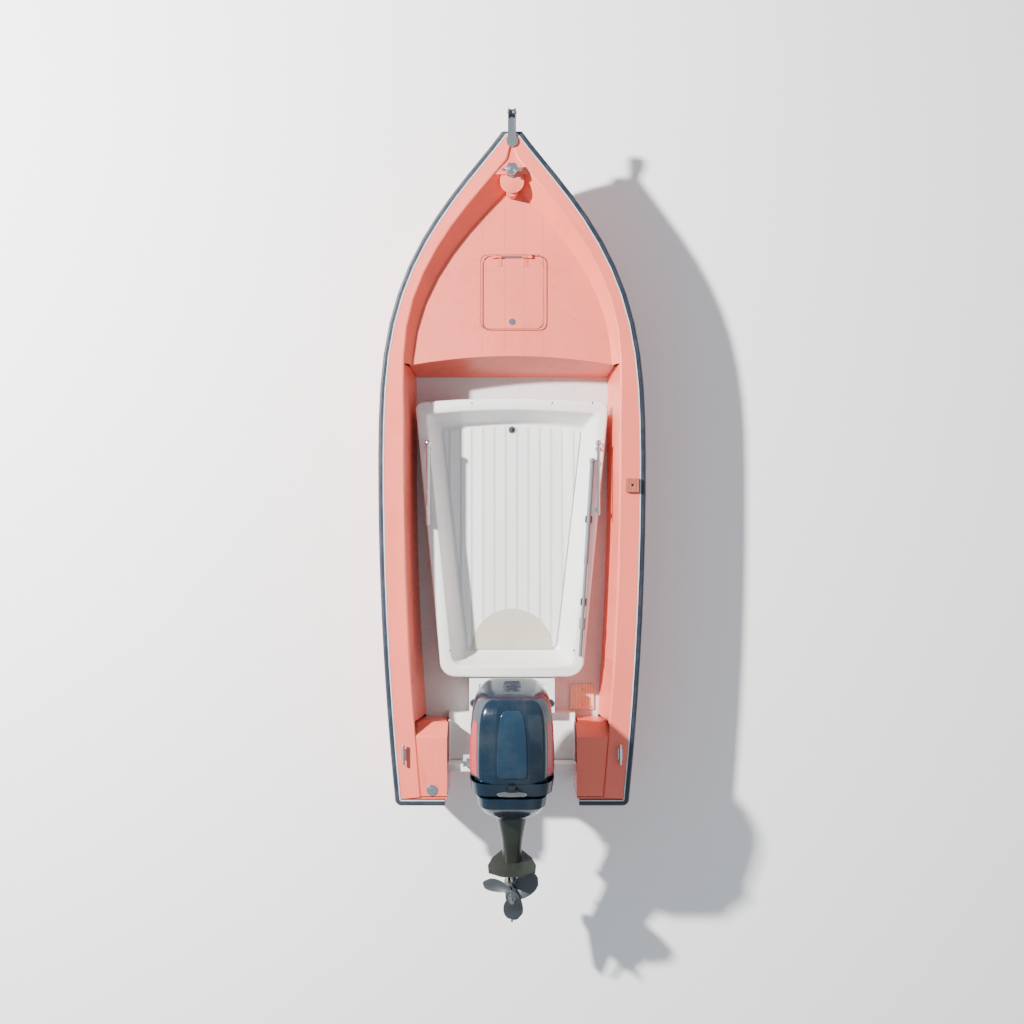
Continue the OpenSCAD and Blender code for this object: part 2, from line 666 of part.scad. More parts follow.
module well_tray() {
    x = notch_w - gap;
    aft = transom_y + transom_t + gap;
    color("whitesmoke") {
        translate([-x, aft, tray_z]) cube([2*x, tray_fore - aft, 10]);
        translate([-x, tray_fore - 12, sole_z + gap]) cube([2*x, 12, tray_z - sole_z - gap]);
        for (side = [-1, 1]) translate([side*(x - 6) - 6, aft, tray_z + 10]) cube([12, box_fore_y - aft, 60]);
    }
}
cleat_x = 660;
cleat_y = -1732;
module cleats() {
    color("silver") for (x = [-cleat_x, cleat_x]) translate([x, cleat_y, deck_z + gap]) {
        for (y = [-18, 18]) translate([0, y, 0]) cylinder(r = 9, h = 26);
        translate([-14, -34, 0]) cube([28, 68, 5]);
        translate([0, -56, 28]) rotate([-90, 0, 0]) cylinder(r = 8, h = 112);
        for (y = [-56, 56]) translate([0, y, 28]) sphere(r = 8.5, $fn = 40);
    }
}
module filler_neck() {
    color("silver") translate([filler_x, filler_y, deck_z]) difference() {
        union() {
            translate([0, 0, gap]) cylinder(r = 34, h = 4);
            translate([0, 0, -neck_l + 4]) cylinder(r = neck_r, h = neck_l);
        }
        translate([0, 0, -neck_l]) cylinder(r = neck_r - 5, h = neck_l + 20);
    }
}
module filler_cap() {
    color("silver") translate([filler_x, filler_y, deck_z + 2*gap + 4]) difference() {
        union() {
            cylinder(r = 24, h = 8);
            translate([0, 0, -20]) cylinder(r = neck_r - 5.5, h = 22);
        }
        translate([-14, -2, 5]) cube([28, 4, 5]);
    }
}

// ---------------------------------------------------------------- outboard
// Drawn in its running position round the tilt tube, then tilted about it
pivot_y = transom_y + 50;
pivot_z = transom_z + 40;
module at_pivot() {
    translate([0, pivot_y, pivot_z]) children();
}
module at_motor() {
    at_pivot() rotate([-tilt, 0, 0]) children();
}
module along_x(x0, x1, r) {
    translate([x0, 0, 0]) rotate([0, 90, 0]) cylinder(r = r, h = x1 - x0);
}
module side_plate(x0, x1, outline) {
    translate([x0, 0, 0]) rotate([90, 0, 90]) linear_extrude(x1 - x0) polygon(outline);
}
module for_bolts() {
    for (x = [-102, 102], z = [-90, -190]) translate([x, 0, z]) rotate([90, 0, 0]) children();
}
face_aft = -50 - gap;
face_fore = transom_t - 50 + gap;
bracket_outline = [[-78, -260], [face_aft, -260], [face_aft, -40 + gap], [face_fore, -40 + gap],
    [face_fore, -110], [10, -110], [10, -30], [22, -16], [25, 0], [22, 16], [8, 26], [-20, 26], [-78, -10]];
module clamp_brackets() {
    color("dimgray") at_pivot() difference() {
        union() {
            side_plate(60, 82, bracket_outline);
            side_plate(-82, -60, bracket_outline);
            for (x = [60, -120]) translate([x, face_aft - 12, -235]) cube([60, 12, 185]);
        }
        along_x(-130, 130, tilt_r + run_gap);
        for_bolts() translate([0, 0, 30]) cylinder(r = 6.3, h = 60);
    }
}
module bracket_bolts() {
    color("silver") at_pivot() for_bolts() {
        translate([0, 0, -face_fore - 9]) cylinder(r = 6, h = transom_t + 30);
        translate([0, 0, -face_fore + gap - 9]) cylinder(r = 11, h = 8, $fn = 6);
        translate([0, 0, -face_aft + 12 + gap]) cylinder(r = 11, h = 7, $fn = 6);
    }
}
rod_r = 8;
module tilt_tube() {
    color("silver") at_pivot() difference() {
        along_x(-150, 104, tilt_r);
        along_x(-160, 120, rod_r + run_gap);
    }
}
king_y = -110;
king_r = 18;
hub_x = 57;
lever_y = -62;
lever_z = 14;
module swivel_bracket() {
    color("darkslategray") at_motor() difference() {
        union() {
            along_x(-hub_x, hub_x, 28);
            translate([-26, king_y, -26]) cube([52, -king_y, 48]);
            translate([0, king_y, -300]) cylinder(r = 34, h = 326);
            translate([0, lever_y, lever_z]) along_x(-52, 0, 6);
        }
        along_x(-60, 60, tilt_r + run_gap);
        translate([0, king_y, -310]) cylinder(r = king_r + run_gap, h = 350);
    }
}
module tilt_lever() {
    color("silver") at_motor() translate([0, lever_y, lever_z]) difference() {
        union() {
            along_x(-47, -37, 12);
            translate([-47, -8, -130]) cube([10, 16, 130]);
            translate([0, 0, -130]) along_x(-56, -36, 9);
        }
        along_x(-60, -30, 6 + run_gap);
    }
}
arm_y = 66;
arm_z = 33;
arm_t = 12;
steer_max = 28;
link_x = -300;
module steering_rod() {
    slot_y0 = king_y + (arm_y - king_y)*cos(steer_max) - 10;
    color("silver") at_motor() {
        along_x(link_x, 50, rod_r);
        translate([link_x, -11, -11]) cube([20, arm_y + 25, 37]);
        difference() {
            translate([link_x, slot_y0 - 8, 14]) cube([20 - link_x, arm_y + 14 - slot_y0 + 8, 12]);
            hull() for (y = [slot_y0 + 6, arm_y]) translate([0, y, 0]) cylinder(r = 9.5, h = 40, $fn = 40);
        }
    }
}
leg_y = -150;
module king_pin() {
    color("gray") at_motor() {
        translate([0, king_y, -312]) cylinder(r = king_r, h = 312 + arm_z);
        translate([-40, leg_y + gap, arm_z]) cube([80, king_y - leg_y + 20, arm_t]);
        translate([-15, king_y, arm_z]) cube([30, arm_y - king_y + 12, arm_t]);
        translate([0, arm_y, 6]) cylinder(r = 7, h = arm_z - 6);
        translate([-40, leg_y + gap, -346]) cube([80, king_y - leg_y + 18, 34]);
    }
}
// Rounded rectangle at height z: half width hw, from y0 aft to y1
function bar_corner(cx, cy, r, a) = [for (i = [0:5]) [cx + r*cos(a + i*18), cy + r*sin(a + i*18)]];
function bar_loop(hw, y0, y1, r, z) = [for (p = concat(
    bar_corner(hw - r, y1 - r, r, 0), bar_corner(-hw + r, y1 - r, r, 90),
    bar_corner(-hw + r, y0 + r, r, 180), bar_corner(hw - r, y0 + r, r, 270))) [p[0], p[1], z]];
drive_y = -200;
drive_r = 11;
plate_z = -505;
module motor_leg() {
    color("darkolivegreen") at_motor() difference() {
        skin(turned([
            bar_loop(205, -545, leg_y, 80, 45), bar_loop(198, -541, leg_y, 80, -20),
            bar_loop(164, -506, leg_y, 70, -80), bar_loop(122, -446, leg_y, 52, -124),
            bar_loop(92, -380, leg_y, 44, -172),
            bar_loop(66, -345, leg_y, 36, -330), bar_loop(52, -330, leg_y, 30, plate_z + 10 + gap)]));
        translate([0, drive_y, plate_z - 10]) cylinder(r = drive_r + 2, h = 600);
    }
}
prop_y = -330;
case_r = 50;
gear_r = 45;
module gearcase() {
    color("dimgray") at_motor() difference() {
        union() {
            translate([0, 0, plate_z]) linear_extrude(10) polygon([[-52, -150], [52, -150], [120, -260],
                [146, -350], [140, -430], [60, -474], [-60, -474], [-140, -430], [-146, -350], [-120, -260]]);
            translate([0, 0, -prop_drop + 20]) linear_extrude(prop_drop + plate_z - 20) polygon([[0, -128],
                [14, -140], [34, -190], [36, -240], [24, -285], [-24, -285], [-36, -240], [-34, -190], [-14, -140]]);
            translate([0, -286, -prop_drop]) rotate([-90, 0, 0]) rotate_extrude($fn = 64)
                polygon([[0, 0], [46, 0], [case_r, 40], [case_r, 90], [44, 140], [30, 172], [12, 188], [0, 190]]);
            side_plate(-6, 6, [[-128, -prop_drop - 30], [-282, -prop_drop - 30], [-284, -prop_drop - 230],
                [-236, -prop_drop - 230], [-176, -prop_drop - 120]]);
        }
        translate([0, -248, -prop_drop]) rotate([-90, 0, 0]) cylinder(r = gear_r, h = 76);
        translate([0, -300, -prop_drop]) rotate([-90, 0, 0]) cylinder(r = shaft_r + run_gap, h = 146);
        translate([0, drive_y, -prop_drop + 20]) cylinder(r = drive_r + run_gap, h = 300);
    }
}
module anode() {
    color("lightgray") at_motor() translate([0, 0, plate_z - 44]) linear_extrude(44 - gap)
        polygon([[-5, -400], [5, -400], [9, -430], [5, -462], [-5, -462], [-9, -430]]);
}
module drive_shaft() {
    color("silver") at_motor() translate([0, drive_y, 0]) {
        translate([0, 0, -prop_drop + 22]) cylinder(r1 = 12, r2 = 22, h = 16);
        translate([0, 0, -prop_drop + 38]) cylinder(r = drive_r, h = prop_drop + 480 - 38);
    }
}
module propeller_shaft() {
    color("silver") at_motor() translate([0, 0, -prop_drop]) rotate([90, 0, 0]) {
        translate([0, 0, 158]) cylinder(r = shaft_r, h = 280);
        translate([0, 0, 222]) cylinder(r1 = 24, r2 = 38, h = 18);
    }
}
blade_root = 40;
function blade_ring(t) = let(r = mix(blade_root, prop_r, t), c = 62*pow(max(0, 1 - pow(abs(t*1.9 - 0.85), 2.6)/1.15), 0.5) + 6,
    th = mix(7, 2, t), pitch = atan2(330, 6.28*r), sweep = 26*t*t)
    [for (a = [0:30:330]) let(u = c*cos(a) + sweep, v = th*sin(a))
        [r*cos(u/r*57.3), u*sin(pitch) + v*cos(pitch), r*sin((u*cos(pitch) - v*sin(pitch))/r*57.3)]];
blade_turn = 90;
module propeller() {
    color("gray") at_motor() translate([0, prop_y, -prop_drop]) rotate([0, blade_turn, 0]) {
        difference() {
            rotate([90, 0, 0]) translate([0, 0, -42]) cylinder(r1 = 47, r2 = 40, h = 92);
            rotate([90, 0, 0]) translate([0, 0, -60]) cylinder(r = shaft_r + run_gap, h = 140);
        }
        for (a = [0, 120, 240]) rotate([0, a, 0]) skin([for (i = [8:-1:0]) blade_ring(i/8)]);
    }
}
module propeller_nut() {
    color("silver") at_motor() translate([0, prop_y - 50 - gap, -prop_drop]) rotate([90, 0, 0]) difference() {
        union() {
            cylinder(r = 24, h = 4);
            translate([0, 0, 4]) cylinder(r = 20, h = 16, $fn = 6);
        }
        translate([0, 0, -1]) cylinder(r = shaft_r + run_gap, h = 40);
    }
}
pan_z = 46;
split_z = 150;
crown_z = 645;
cowl_y0 = -560;
cowl_y1 = -46;
module powerhead() {
    color("gray") at_motor() translate([0, 0, pan_z + 12]) difference() {
        union() {
            translate([-105, -440, 0]) cube([210, 320, 26]);
            translate([-80, -300, 26]) cube([160, 170, 390]);
            translate([-70, -430, 60]) cube([140, 130, 330]);
            for (z = [100, 180, 260, 340]) translate([0, -340, z]) rotate([90, 0, 0]) cylinder(r = 26, h = 110);
        }
        translate([0, drive_y, -1]) cylinder(r = drive_r + 2, h = 460);
    }
}
module flywheel() {
    color("dimgray") at_motor() translate([0, drive_y, pan_z + 12 + 418]) difference() {
        union() {
            cylinder(r = 110, h = 22);
            cylinder(r = 40, h = 30);
        }
        translate([0, 0, -1]) cylinder(r = drive_r + run_gap, h = 40);
    }
}
latch_z = 118;
latch_pin_y = cowl_y0 - 12;
module lower_cowl() {
    color("midnightblue") at_motor() difference() {
        union() {
            skin([bar_loop(200, cowl_y0 + 40, cowl_y1 - 20, 80, pan_z), bar_loop(236, cowl_y0 + 10, cowl_y1 - 4, 90, 72),
                bar_loop(cowl_w - 2, cowl_y0 + 2, cowl_y1 - 1, 94, split_z),
                bar_loop(cowl_w - 8, cowl_y0 + 8, cowl_y1 - 7, 90, split_z),
                bar_loop(228, cowl_y0 + 18, cowl_y1 - 12, 84, 76), bar_loop(196, cowl_y0 + 44, cowl_y1 - 24, 76, pan_z + 12 - gap)]);
            for (x = [-33, 25]) translate([x, latch_pin_y - 7, latch_z - 8]) cube([8, 28, 16]);
        }
        translate([0, drive_y, 0]) cylinder(r = drive_r + 2, h = 100);
        translate([0, latch_pin_y, latch_z]) along_x(-40, 40, 4 + run_gap);
    }
}
module upper_cowl() {
    z0 = split_z + gap;
    w = cowl_w;
    t = 5;
    color("midnightblue") at_motor() skin(turned([
        bar_loop(96, -390, -150, 60, crown_z - 8), bar_loop(146, -440, -105, 80, crown_z - 17),
        bar_loop(196, -490, -80, 95, crown_z - 58), bar_loop(w - 20, cowl_y0 + 40, cowl_y1 - 20, 100, crown_z - 140),
        bar_loop(w - t, cowl_y0 + 14, cowl_y1 - 8, 100, 330), bar_loop(w - t, cowl_y0 + t, cowl_y1 - t, 90, z0),
        bar_loop(w, cowl_y0, cowl_y1, 95, z0), bar_loop(w, cowl_y0 + 8, cowl_y1 - 3, 105, 330),
        bar_loop(w - 13, cowl_y0 + 34, cowl_y1 - 13, 106, crown_z - 136), bar_loop(202, -498, -72, 100, crown_z - 51),
        bar_loop(150, -448, -100, 84, crown_z - 9), bar_loop(98, -394, -148, 62, crown_z)]));
}
module cowl_trim() {
    color("firebrick") at_motor() both_sides() side_plate(cowl_w + gap, cowl_w + 3,
        [[-430, 180], [-150, 190], [-150, 270], [-300, 310], [-430, 318]]);
}
module cowl_latch() {
    color("black") at_motor() translate([0, latch_pin_y, latch_z]) {
        along_x(-34, 34, 4);
        translate([-22, -7, -9]) cube([44, 12, 40]);
        translate([-16, -13, 10]) cube([32, 6, 20]);
    }
}

hull_shell();
keel_strip();
stringers();
sponson_walls();
transom_board();
deck_moulding();
foredeck();
bulkhead();
cockpit_sole();
quarter_box_port();
quarter_box_starboard();
rub_rail();
rub_rail_insert();
bow_pedestal();
bollard();
stem_fitting();
anchor_roller();
roller_pin();
hatch_frame();
hatch_lid();
hatch_hinge();
hatch_latch();
fuel_tank();
cockpit_tub();
tub_floor();
tan_mat();
drain_ring();
drain_plug();
grab_rails();
boat_hook();
hook_clips();
locker_panel();
rowlock_block();
well_box();
battery();
cable_grommets();
well_tray();
cleats();
filler_neck();
filler_cap();
clamp_brackets();
bracket_bolts();
tilt_tube();
swivel_bracket();
tilt_lever();
steering_rod();
king_pin();
motor_leg();
gearcase();
anode();
drive_shaft();
propeller_shaft();
propeller();
propeller_nut();
powerhead();
flywheel();
lower_cowl();
upper_cowl();
cowl_trim();
cowl_latch();
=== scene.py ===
"""Open fibreglass skiff with a tilted outboard: its surfaces and finishes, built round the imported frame."""
import json
import math

import bpy
import bmesh
from mathutils import Matrix, Vector, noise


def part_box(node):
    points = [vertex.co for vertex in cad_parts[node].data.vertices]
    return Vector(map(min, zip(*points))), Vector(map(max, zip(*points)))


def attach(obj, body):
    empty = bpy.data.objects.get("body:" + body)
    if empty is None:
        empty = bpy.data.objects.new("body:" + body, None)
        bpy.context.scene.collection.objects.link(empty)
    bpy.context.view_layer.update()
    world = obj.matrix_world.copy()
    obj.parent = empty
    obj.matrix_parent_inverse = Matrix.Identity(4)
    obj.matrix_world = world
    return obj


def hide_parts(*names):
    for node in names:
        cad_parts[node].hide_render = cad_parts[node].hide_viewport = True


bl_info = {
    "name": "Skiff surfaces",
    "version": (1, 0, 0),
    "blender": (4, 5, 0),
    "location": "View3D > Sidebar > Skiff",
    "description": "Builds the hull, deck, tub, fittings and outboard of an open skiff round its frame",
    "category": "Object",
}

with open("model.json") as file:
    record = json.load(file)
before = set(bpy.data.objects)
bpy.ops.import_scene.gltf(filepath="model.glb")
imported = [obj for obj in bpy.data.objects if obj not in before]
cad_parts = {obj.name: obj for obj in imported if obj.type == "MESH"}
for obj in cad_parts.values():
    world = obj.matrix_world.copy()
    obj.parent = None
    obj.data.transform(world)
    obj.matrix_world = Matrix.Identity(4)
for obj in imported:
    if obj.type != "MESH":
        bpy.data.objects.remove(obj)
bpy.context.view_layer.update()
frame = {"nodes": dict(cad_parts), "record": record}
RECORD = frame["record"]
NODE_BODY = {n: b for b, names in RECORD["behaviour"]["bodies"].items() for n in names}
JOINTS = {joint["name"]: joint for joint in RECORD["behaviour"]["joints"]}


# ------------------------------------------------------------------ sizes and colours
def colour(name, text, value):
    return bpy.props.FloatVectorProperty(
        name=name, description=text, default=value, size=4, min=0, max=1, subtype="COLOR")


def length(name, text, value):
    return bpy.props.FloatProperty(name=name, description=text, default=value, min=0, unit="LENGTH")


class SkiffColours(bpy.types.PropertyGroup):
    hull: colour("Hull", "Gelcoat of the hull", (0.74, 0.135, 0.085, 1))
    deck: colour("Deck", "Gelcoat of the deck and foredeck", (0.82, 0.150, 0.100, 1))
    deep: colour("Deck shade", "Where the deck gelcoat is rubbed or stained", (0.56, 0.075, 0.05, 1))
    white: colour("White gelcoat", "Tub, sole and motor well", (0.80, 0.80, 0.79, 1))
    grime: colour("Grime", "Dirt on the white gelcoat", (0.50, 0.49, 0.46, 1))
    tan: colour("Tan mat", "Mat at the after end of the tub", (0.56, 0.51, 0.42, 1))
    rubber: colour("Rubber", "Rub rail and other rubber", (0.010, 0.016, 0.032, 1))
    vinyl: colour("Insert", "Strip along the top of the rub rail", (0.52, 0.55, 0.58, 1))
    cowl: colour("Cowl", "Paint of the motor cowl", (0.004, 0.015, 0.030, 1))
    trim: colour("Cowl trim", "Stripes of the motor cowl", (0.36, 0.012, 0.022, 1))
    leg: colour("Leg", "Paint of the motor leg", (0.030, 0.036, 0.030, 1))
    blade: colour("Propeller", "Paint of the propeller", (0.07, 0.08, 0.09, 1))


class SkiffSizes(bpy.types.PropertyGroup):
    soft_edge: length("Moulded edge", "Radius of the edges of fibreglass mouldings", 0.005)
    hard_edge: length("Metal edge", "Radius of the edges of metal parts", 0.0012)
    stripe_proud: length("Stripe height", "How far the cowl stripes stand out", 0.0015)
    panel_proud: length("Panel height", "How far the cowl's back panel stands out", 0.006)
    camera_height: length("Camera height", "Height of the camera over the ground", 10.5)
    camera_lens: bpy.props.FloatProperty(
        name="Camera lens", description="Focal length", default=57.0, min=20, unit="CAMERA")


def colours():
    return bpy.context.scene.skiff_colours


def sizes():
    return bpy.context.scene.skiff_sizes


# ------------------------------------------------------------------ materials
class Nodes:
    """Short way to write a node tree round one Principled shader."""

    def __init__(self, name):
        self.mat = bpy.data.materials.new(name)
        self.mat.use_nodes = True
        self.tree = self.mat.node_tree
        self.bsdf = self.tree.nodes["Principled BSDF"]
        self.where = self.add("ShaderNodeTexCoord").outputs["Object"]

    def add(self, kind, **inputs):
        node = self.tree.nodes.new(kind)
        for key, value in inputs.items():
            self.put(node, key, value)
        return node

    def put(self, node, key, value):
        socket = node.inputs[int(key[1:]) if key[0] == "i" and key[1:].isdigit() else key.replace("_", " ")]
        if isinstance(value, bpy.types.NodeSocket):
            self.tree.links.new(value, socket)
        else:
            socket.default_value = value

    def stretched(self, scale):
        return self.add("ShaderNodeMapping", Vector=self.where, Scale=scale).outputs["Vector"]

    def noise(self, scale, detail=4.0, rough=0.55, at=None):
        node = self.add("ShaderNodeTexNoise", Vector=at or self.where, Scale=scale, Detail=detail,
                        Roughness=rough)
        return node.outputs["Fac"]

    def cells(self, scale, at=None, feature="F1"):
        node = self.tree.nodes.new("ShaderNodeTexVoronoi")
        node.feature = feature
        self.put(node, "Vector", at or self.where)
        self.put(node, "Scale", scale)
        return node.outputs["Distance"]

    def wave(self, scale, distortion, at, kind="BANDS", axis="X"):
        node = self.tree.nodes.new("ShaderNodeTexWave")
        node.wave_type = kind
        node.bands_direction = axis
        for key, value in (("Vector", at), ("Scale", scale), ("Distortion", distortion), ("Detail", 3.0)):
            self.put(node, key, value)
        return node.outputs["Fac"]

    def spread(self, value, low, high, to_low=0.0, to_high=1.0):
        node = self.add("ShaderNodeMapRange", Value=value)
        for key, number in (("From Min", low), ("From Max", high), ("To Min", to_low), ("To Max", to_high)):
            node.inputs[key].default_value = number
        return node.outputs["Result"]

    def mix(self, factor, a, b):
        node = self.tree.nodes.new("ShaderNodeMix")
        node.data_type = "RGBA"
        for index, value in ((0, factor), (6, a), (7, b)):
            self.put(node, "i%d" % index, value)
        return node.outputs[2]

    def math(self, how, a, b):
        node = self.tree.nodes.new("ShaderNodeMath")
        node.operation = how
        self.put(node, "i0", a)
        self.put(node, "i1", b)
        return node.outputs[0]

    def edge_wear(self, low=0.52, high=0.60):
        return self.spread(self.add("ShaderNodeNewGeometry").outputs["Pointiness"], low, high)

    def bump(self, height, distance, strength=1.0, under=None):
        node = self.add("ShaderNodeBump", Height=height)
        node.inputs["Distance"].default_value = distance
        node.inputs["Strength"].default_value = strength
        if under is not None:
            self.put(node, "Normal", under)
        return node.outputs["Normal"]

    def finish(self, **sockets):
        for key, value in sockets.items():
            self.put(self.bsdf, key, value)
        return self.mat


def shade(colour_value, factor):
    return tuple(min(1.0, c*factor) for c in colour_value[:3]) + (1.0,)


def gelcoat(name, base, stain, rough, grain, coat):
    """Painted or gelcoated fibreglass: faint clouds, rubbed patches, specks and an orange-peel skin."""
    n = Nodes(name)
    clouds = n.spread(n.noise(1.7, 5.0), 0.35, 0.7)
    streaks = n.spread(n.noise(9.0, 6.0, 0.65, n.stretched((1.0, 0.25, 1.0))), 0.56, 0.78)
    specks = n.spread(n.noise(160.0, 2.0), 0.66, 0.74)
    body = n.mix(clouds, shade(base, 0.93), shade(base, 1.05))
    body = n.mix(n.math("MULTIPLY", streaks, 0.30), body, stain)
    body = n.mix(n.math("MULTIPLY", specks, 0.25), body, shade(stain, 0.8))
    body = n.mix(n.math("MULTIPLY", n.edge_wear(), 0.35), body, shade(base, 1.25))
    skin = n.bump(n.noise(420.0, 3.0), grain)
    skin = n.bump(n.noise(14.0, 3.0), 0.0012, 0.5, skin)
    return n.finish(Base_Color=body,
                    Roughness=n.spread(n.noise(22.0, 4.0), 0.3, 0.75, rough - 0.06, rough + 0.12),
                    Normal=skin, Coat_Weight=coat, Coat_Roughness=0.18)


def nonskid(name, base, stain, size, depth, seams=()):
    """Moulded non-skid: fine raised diamonds with dirt between them, and faint seams fore and aft."""
    n = Nodes(name)
    turned = n.add("ShaderNodeMapping", Vector=n.where, Rotation=(0, 0, math.radians(45))).outputs["Vector"]
    grid = n.add("ShaderNodeTexChecker", Vector=turned, Scale=size).outputs["Fac"]
    pimples = n.cells(size*1.7, turned)
    clouds = n.spread(n.noise(2.1, 5.0), 0.35, 0.7)
    patches = n.spread(n.noise(6.0, 6.0, 0.7), 0.52, 0.75)
    body = n.mix(clouds, shade(base, 0.94), shade(base, 1.05))
    body = n.mix(n.math("MULTIPLY", patches, 0.35), body, stain)
    body = n.mix(n.math("MULTIPLY", n.spread(pimples, 0.35, 0.6), 0.30), body, stain)
    across = n.add("ShaderNodeSeparateXYZ", Vector=n.where).outputs["X"]
    for x in seams:
        off = n.math("ABSOLUTE", n.math("SUBTRACT", across, x), 0.0)
        body = n.mix(n.spread(off, 0.001, 0.004, 0.28, 0.0), body, shade(stain, 0.7))
    skin = n.bump(pimples, depth)
    skin = n.bump(grid, depth*0.4, 0.4, skin)
    return n.finish(Base_Color=body, Roughness=n.spread(patches, 0.0, 1.0, 0.52, 0.72), Normal=skin)


def wood(name, light, dark):
    n = Nodes(name)
    along = n.stretched((6.0, 0.7, 6.0))
    grain = n.wave(3.2, 6.0, along)
    fine = n.noise(60.0, 6.0, 0.7, n.stretched((4.0, 0.25, 4.0)))
    body = n.mix(n.spread(grain, 0.2, 0.9), light, dark)
    body = n.mix(n.spread(fine, 0.45, 0.8, 0.0, 0.5), body, shade(dark, 0.7))
    return n.finish(Base_Color=body, Roughness=n.spread(fine, 0.3, 0.7, 0.42, 0.62),
                    Normal=n.bump(fine, 0.0006), Coat_Weight=0.15, Coat_Roughness=0.3)


def rubber(name, base):
    n = Nodes(name)
    dust = n.spread(n.noise(12.0, 6.0, 0.7), 0.45, 0.8)
    body = n.mix(n.math("MULTIPLY", dust, 0.30), base, shade((0.10, 0.10, 0.11, 1), 1.0))
    body = n.mix(n.math("MULTIPLY", n.edge_wear(), 0.4), body, (0.09, 0.09, 0.10, 1))
    skin = n.bump(n.noise(700.0, 2.0), 0.0004)
    return n.finish(Base_Color=body, Roughness=n.spread(dust, 0.0, 1.0, 0.42, 0.68), Normal=skin)


def vinyl(name, base):
    n = Nodes(name)
    clouds = n.noise(18.0, 5.0)
    body = n.mix(n.spread(clouds, 0.3, 0.75), shade(base, 0.85), shade(base, 1.1))
    return n.finish(Base_Color=body, Roughness=n.spread(clouds, 0.3, 0.7, 0.35, 0.55),
                    Normal=n.bump(n.noise(500.0), 0.0002))


def steel(name, base, rough):
    """Polished stainless steel with fine scratches and salt smears."""
    n = Nodes(name)
    scratch = n.noise(240.0, 4.0, 0.6, n.stretched((1.0, 0.08, 1.0)))
    smear = n.spread(n.noise(16.0, 5.0), 0.5, 0.8)
    body = n.mix(n.math("MULTIPLY", smear, 0.35), base, shade(base, 0.6))
    return n.finish(Base_Color=body, Metallic=1.0, Normal=n.bump(scratch, 0.00012),
                    Roughness=n.math("ADD", n.spread(smear, 0.0, 1.0, rough, rough + 0.22),
                                     n.spread(scratch, 0.3, 0.8, 0.0, 0.08)))


def cast_paint(name, base, bare, rough, grain=0.0005):
    """Painted casting: slight orange peel, chalking, and bare metal where edges are knocked."""
    n = Nodes(name)
    chalk = n.spread(n.noise(7.0, 6.0, 0.65), 0.45, 0.8)
    chips = n.math("MULTIPLY", n.edge_wear(0.56, 0.68), n.spread(n.noise(90.0, 4.0), 0.5, 0.65))
    body = n.mix(n.math("MULTIPLY", chalk, 0.35), base, shade(base, 1.7))
    body = n.mix(chips, body, bare)
    return n.finish(Base_Color=body, Metallic=0.35, Normal=n.bump(n.noise(260.0, 3.0), grain),
                    Roughness=n.spread(chalk, 0.0, 1.0, rough, rough + 0.2), Coat_Weight=0.2,
                    Coat_Roughness=0.25)


def cowl_paint(name, base, flake, rough, metal=0.08, coat=0.35):
    """Deep gloss paint with metal flake under a clear coat, and fine dust."""
    n = Nodes(name)
    flakes = n.spread(n.cells(900.0), 0.0, 0.25, 1.0, 0.0)
    dust = n.spread(n.noise(5.0, 6.0, 0.65), 0.45, 0.85)
    swirl = n.noise(60.0, 5.0)
    body = n.mix(n.math("MULTIPLY", flakes, 0.35), base, flake)
    body = n.mix(n.math("MULTIPLY", dust, 0.10), body, (0.25, 0.24, 0.22, 1))
    return n.finish(Base_Color=body, Metallic=metal, Normal=n.bump(n.noise(9.0, 2.0), 0.0006, 0.4),
                    Roughness=n.spread(swirl, 0.3, 0.8, rough, rough + 0.14), Coat_Weight=coat,
                    Coat_Roughness=0.08, Specular_IOR_Level=0.35)


def plain_plastic(name, base, rough):
    n = Nodes(name)
    clouds = n.noise(8.0, 5.0)
    body = n.mix(n.spread(clouds, 0.35, 0.75), shade(base, 0.85), shade(base, 1.15))
    return n.finish(Base_Color=body, Roughness=n.spread(clouds, 0.3, 0.75, rough, rough + 0.15),
                    Normal=n.bump(n.noise(380.0, 3.0), 0.0004))


def floor_paint(name, base):
    """Smooth pale floor with the faintest unevenness."""
    n = Nodes(name)
    clouds = n.noise(0.8, 3.0)
    body = n.mix(n.spread(clouds, 0.3, 0.7), shade(base, 0.99), base)
    return n.finish(Base_Color=body, Roughness=n.spread(clouds, 0.3, 0.7, 0.78, 0.82),
                    Normal=n.bump(n.noise(30.0), 0.0002))


def planked(name, base, stain, plank):
    """White boards that run fore and aft: dirt gathers in the joints, each board a shade of its own."""
    n = Nodes(name)
    split = n.add("ShaderNodeSeparateXYZ", Vector=n.where)
    across = n.math("ADD", n.math("DIVIDE", split.outputs["X"], plank), 40.5)
    board = n.math("FLOOR", across, 0.0)
    inside = n.math("FRACT", across, 0.0)
    joint = n.math("MINIMUM", inside, n.math("SUBTRACT", 1.0, inside))
    dirt = n.spread(joint, 0.02, 0.13, 1.0, 0.0)
    tone = n.add("ShaderNodeTexWhiteNoise")
    tone.noise_dimensions = "1D"
    n.put(tone, "W", board)
    body = n.mix(tone.outputs["Value"], shade(base, 0.93), shade(base, 1.04))
    grain = n.noise(45.0, 6.0, 0.7, n.stretched((5.0, 0.3, 1.0)))
    body = n.mix(n.spread(grain, 0.5, 0.85, 0.0, 0.35), body, stain)
    body = n.mix(n.math("MULTIPLY", dirt, 0.45), body, shade(stain, 0.8))
    return n.finish(Base_Color=body, Roughness=n.spread(grain, 0.3, 0.8, 0.38, 0.6),
                    Normal=n.bump(grain, 0.0005))


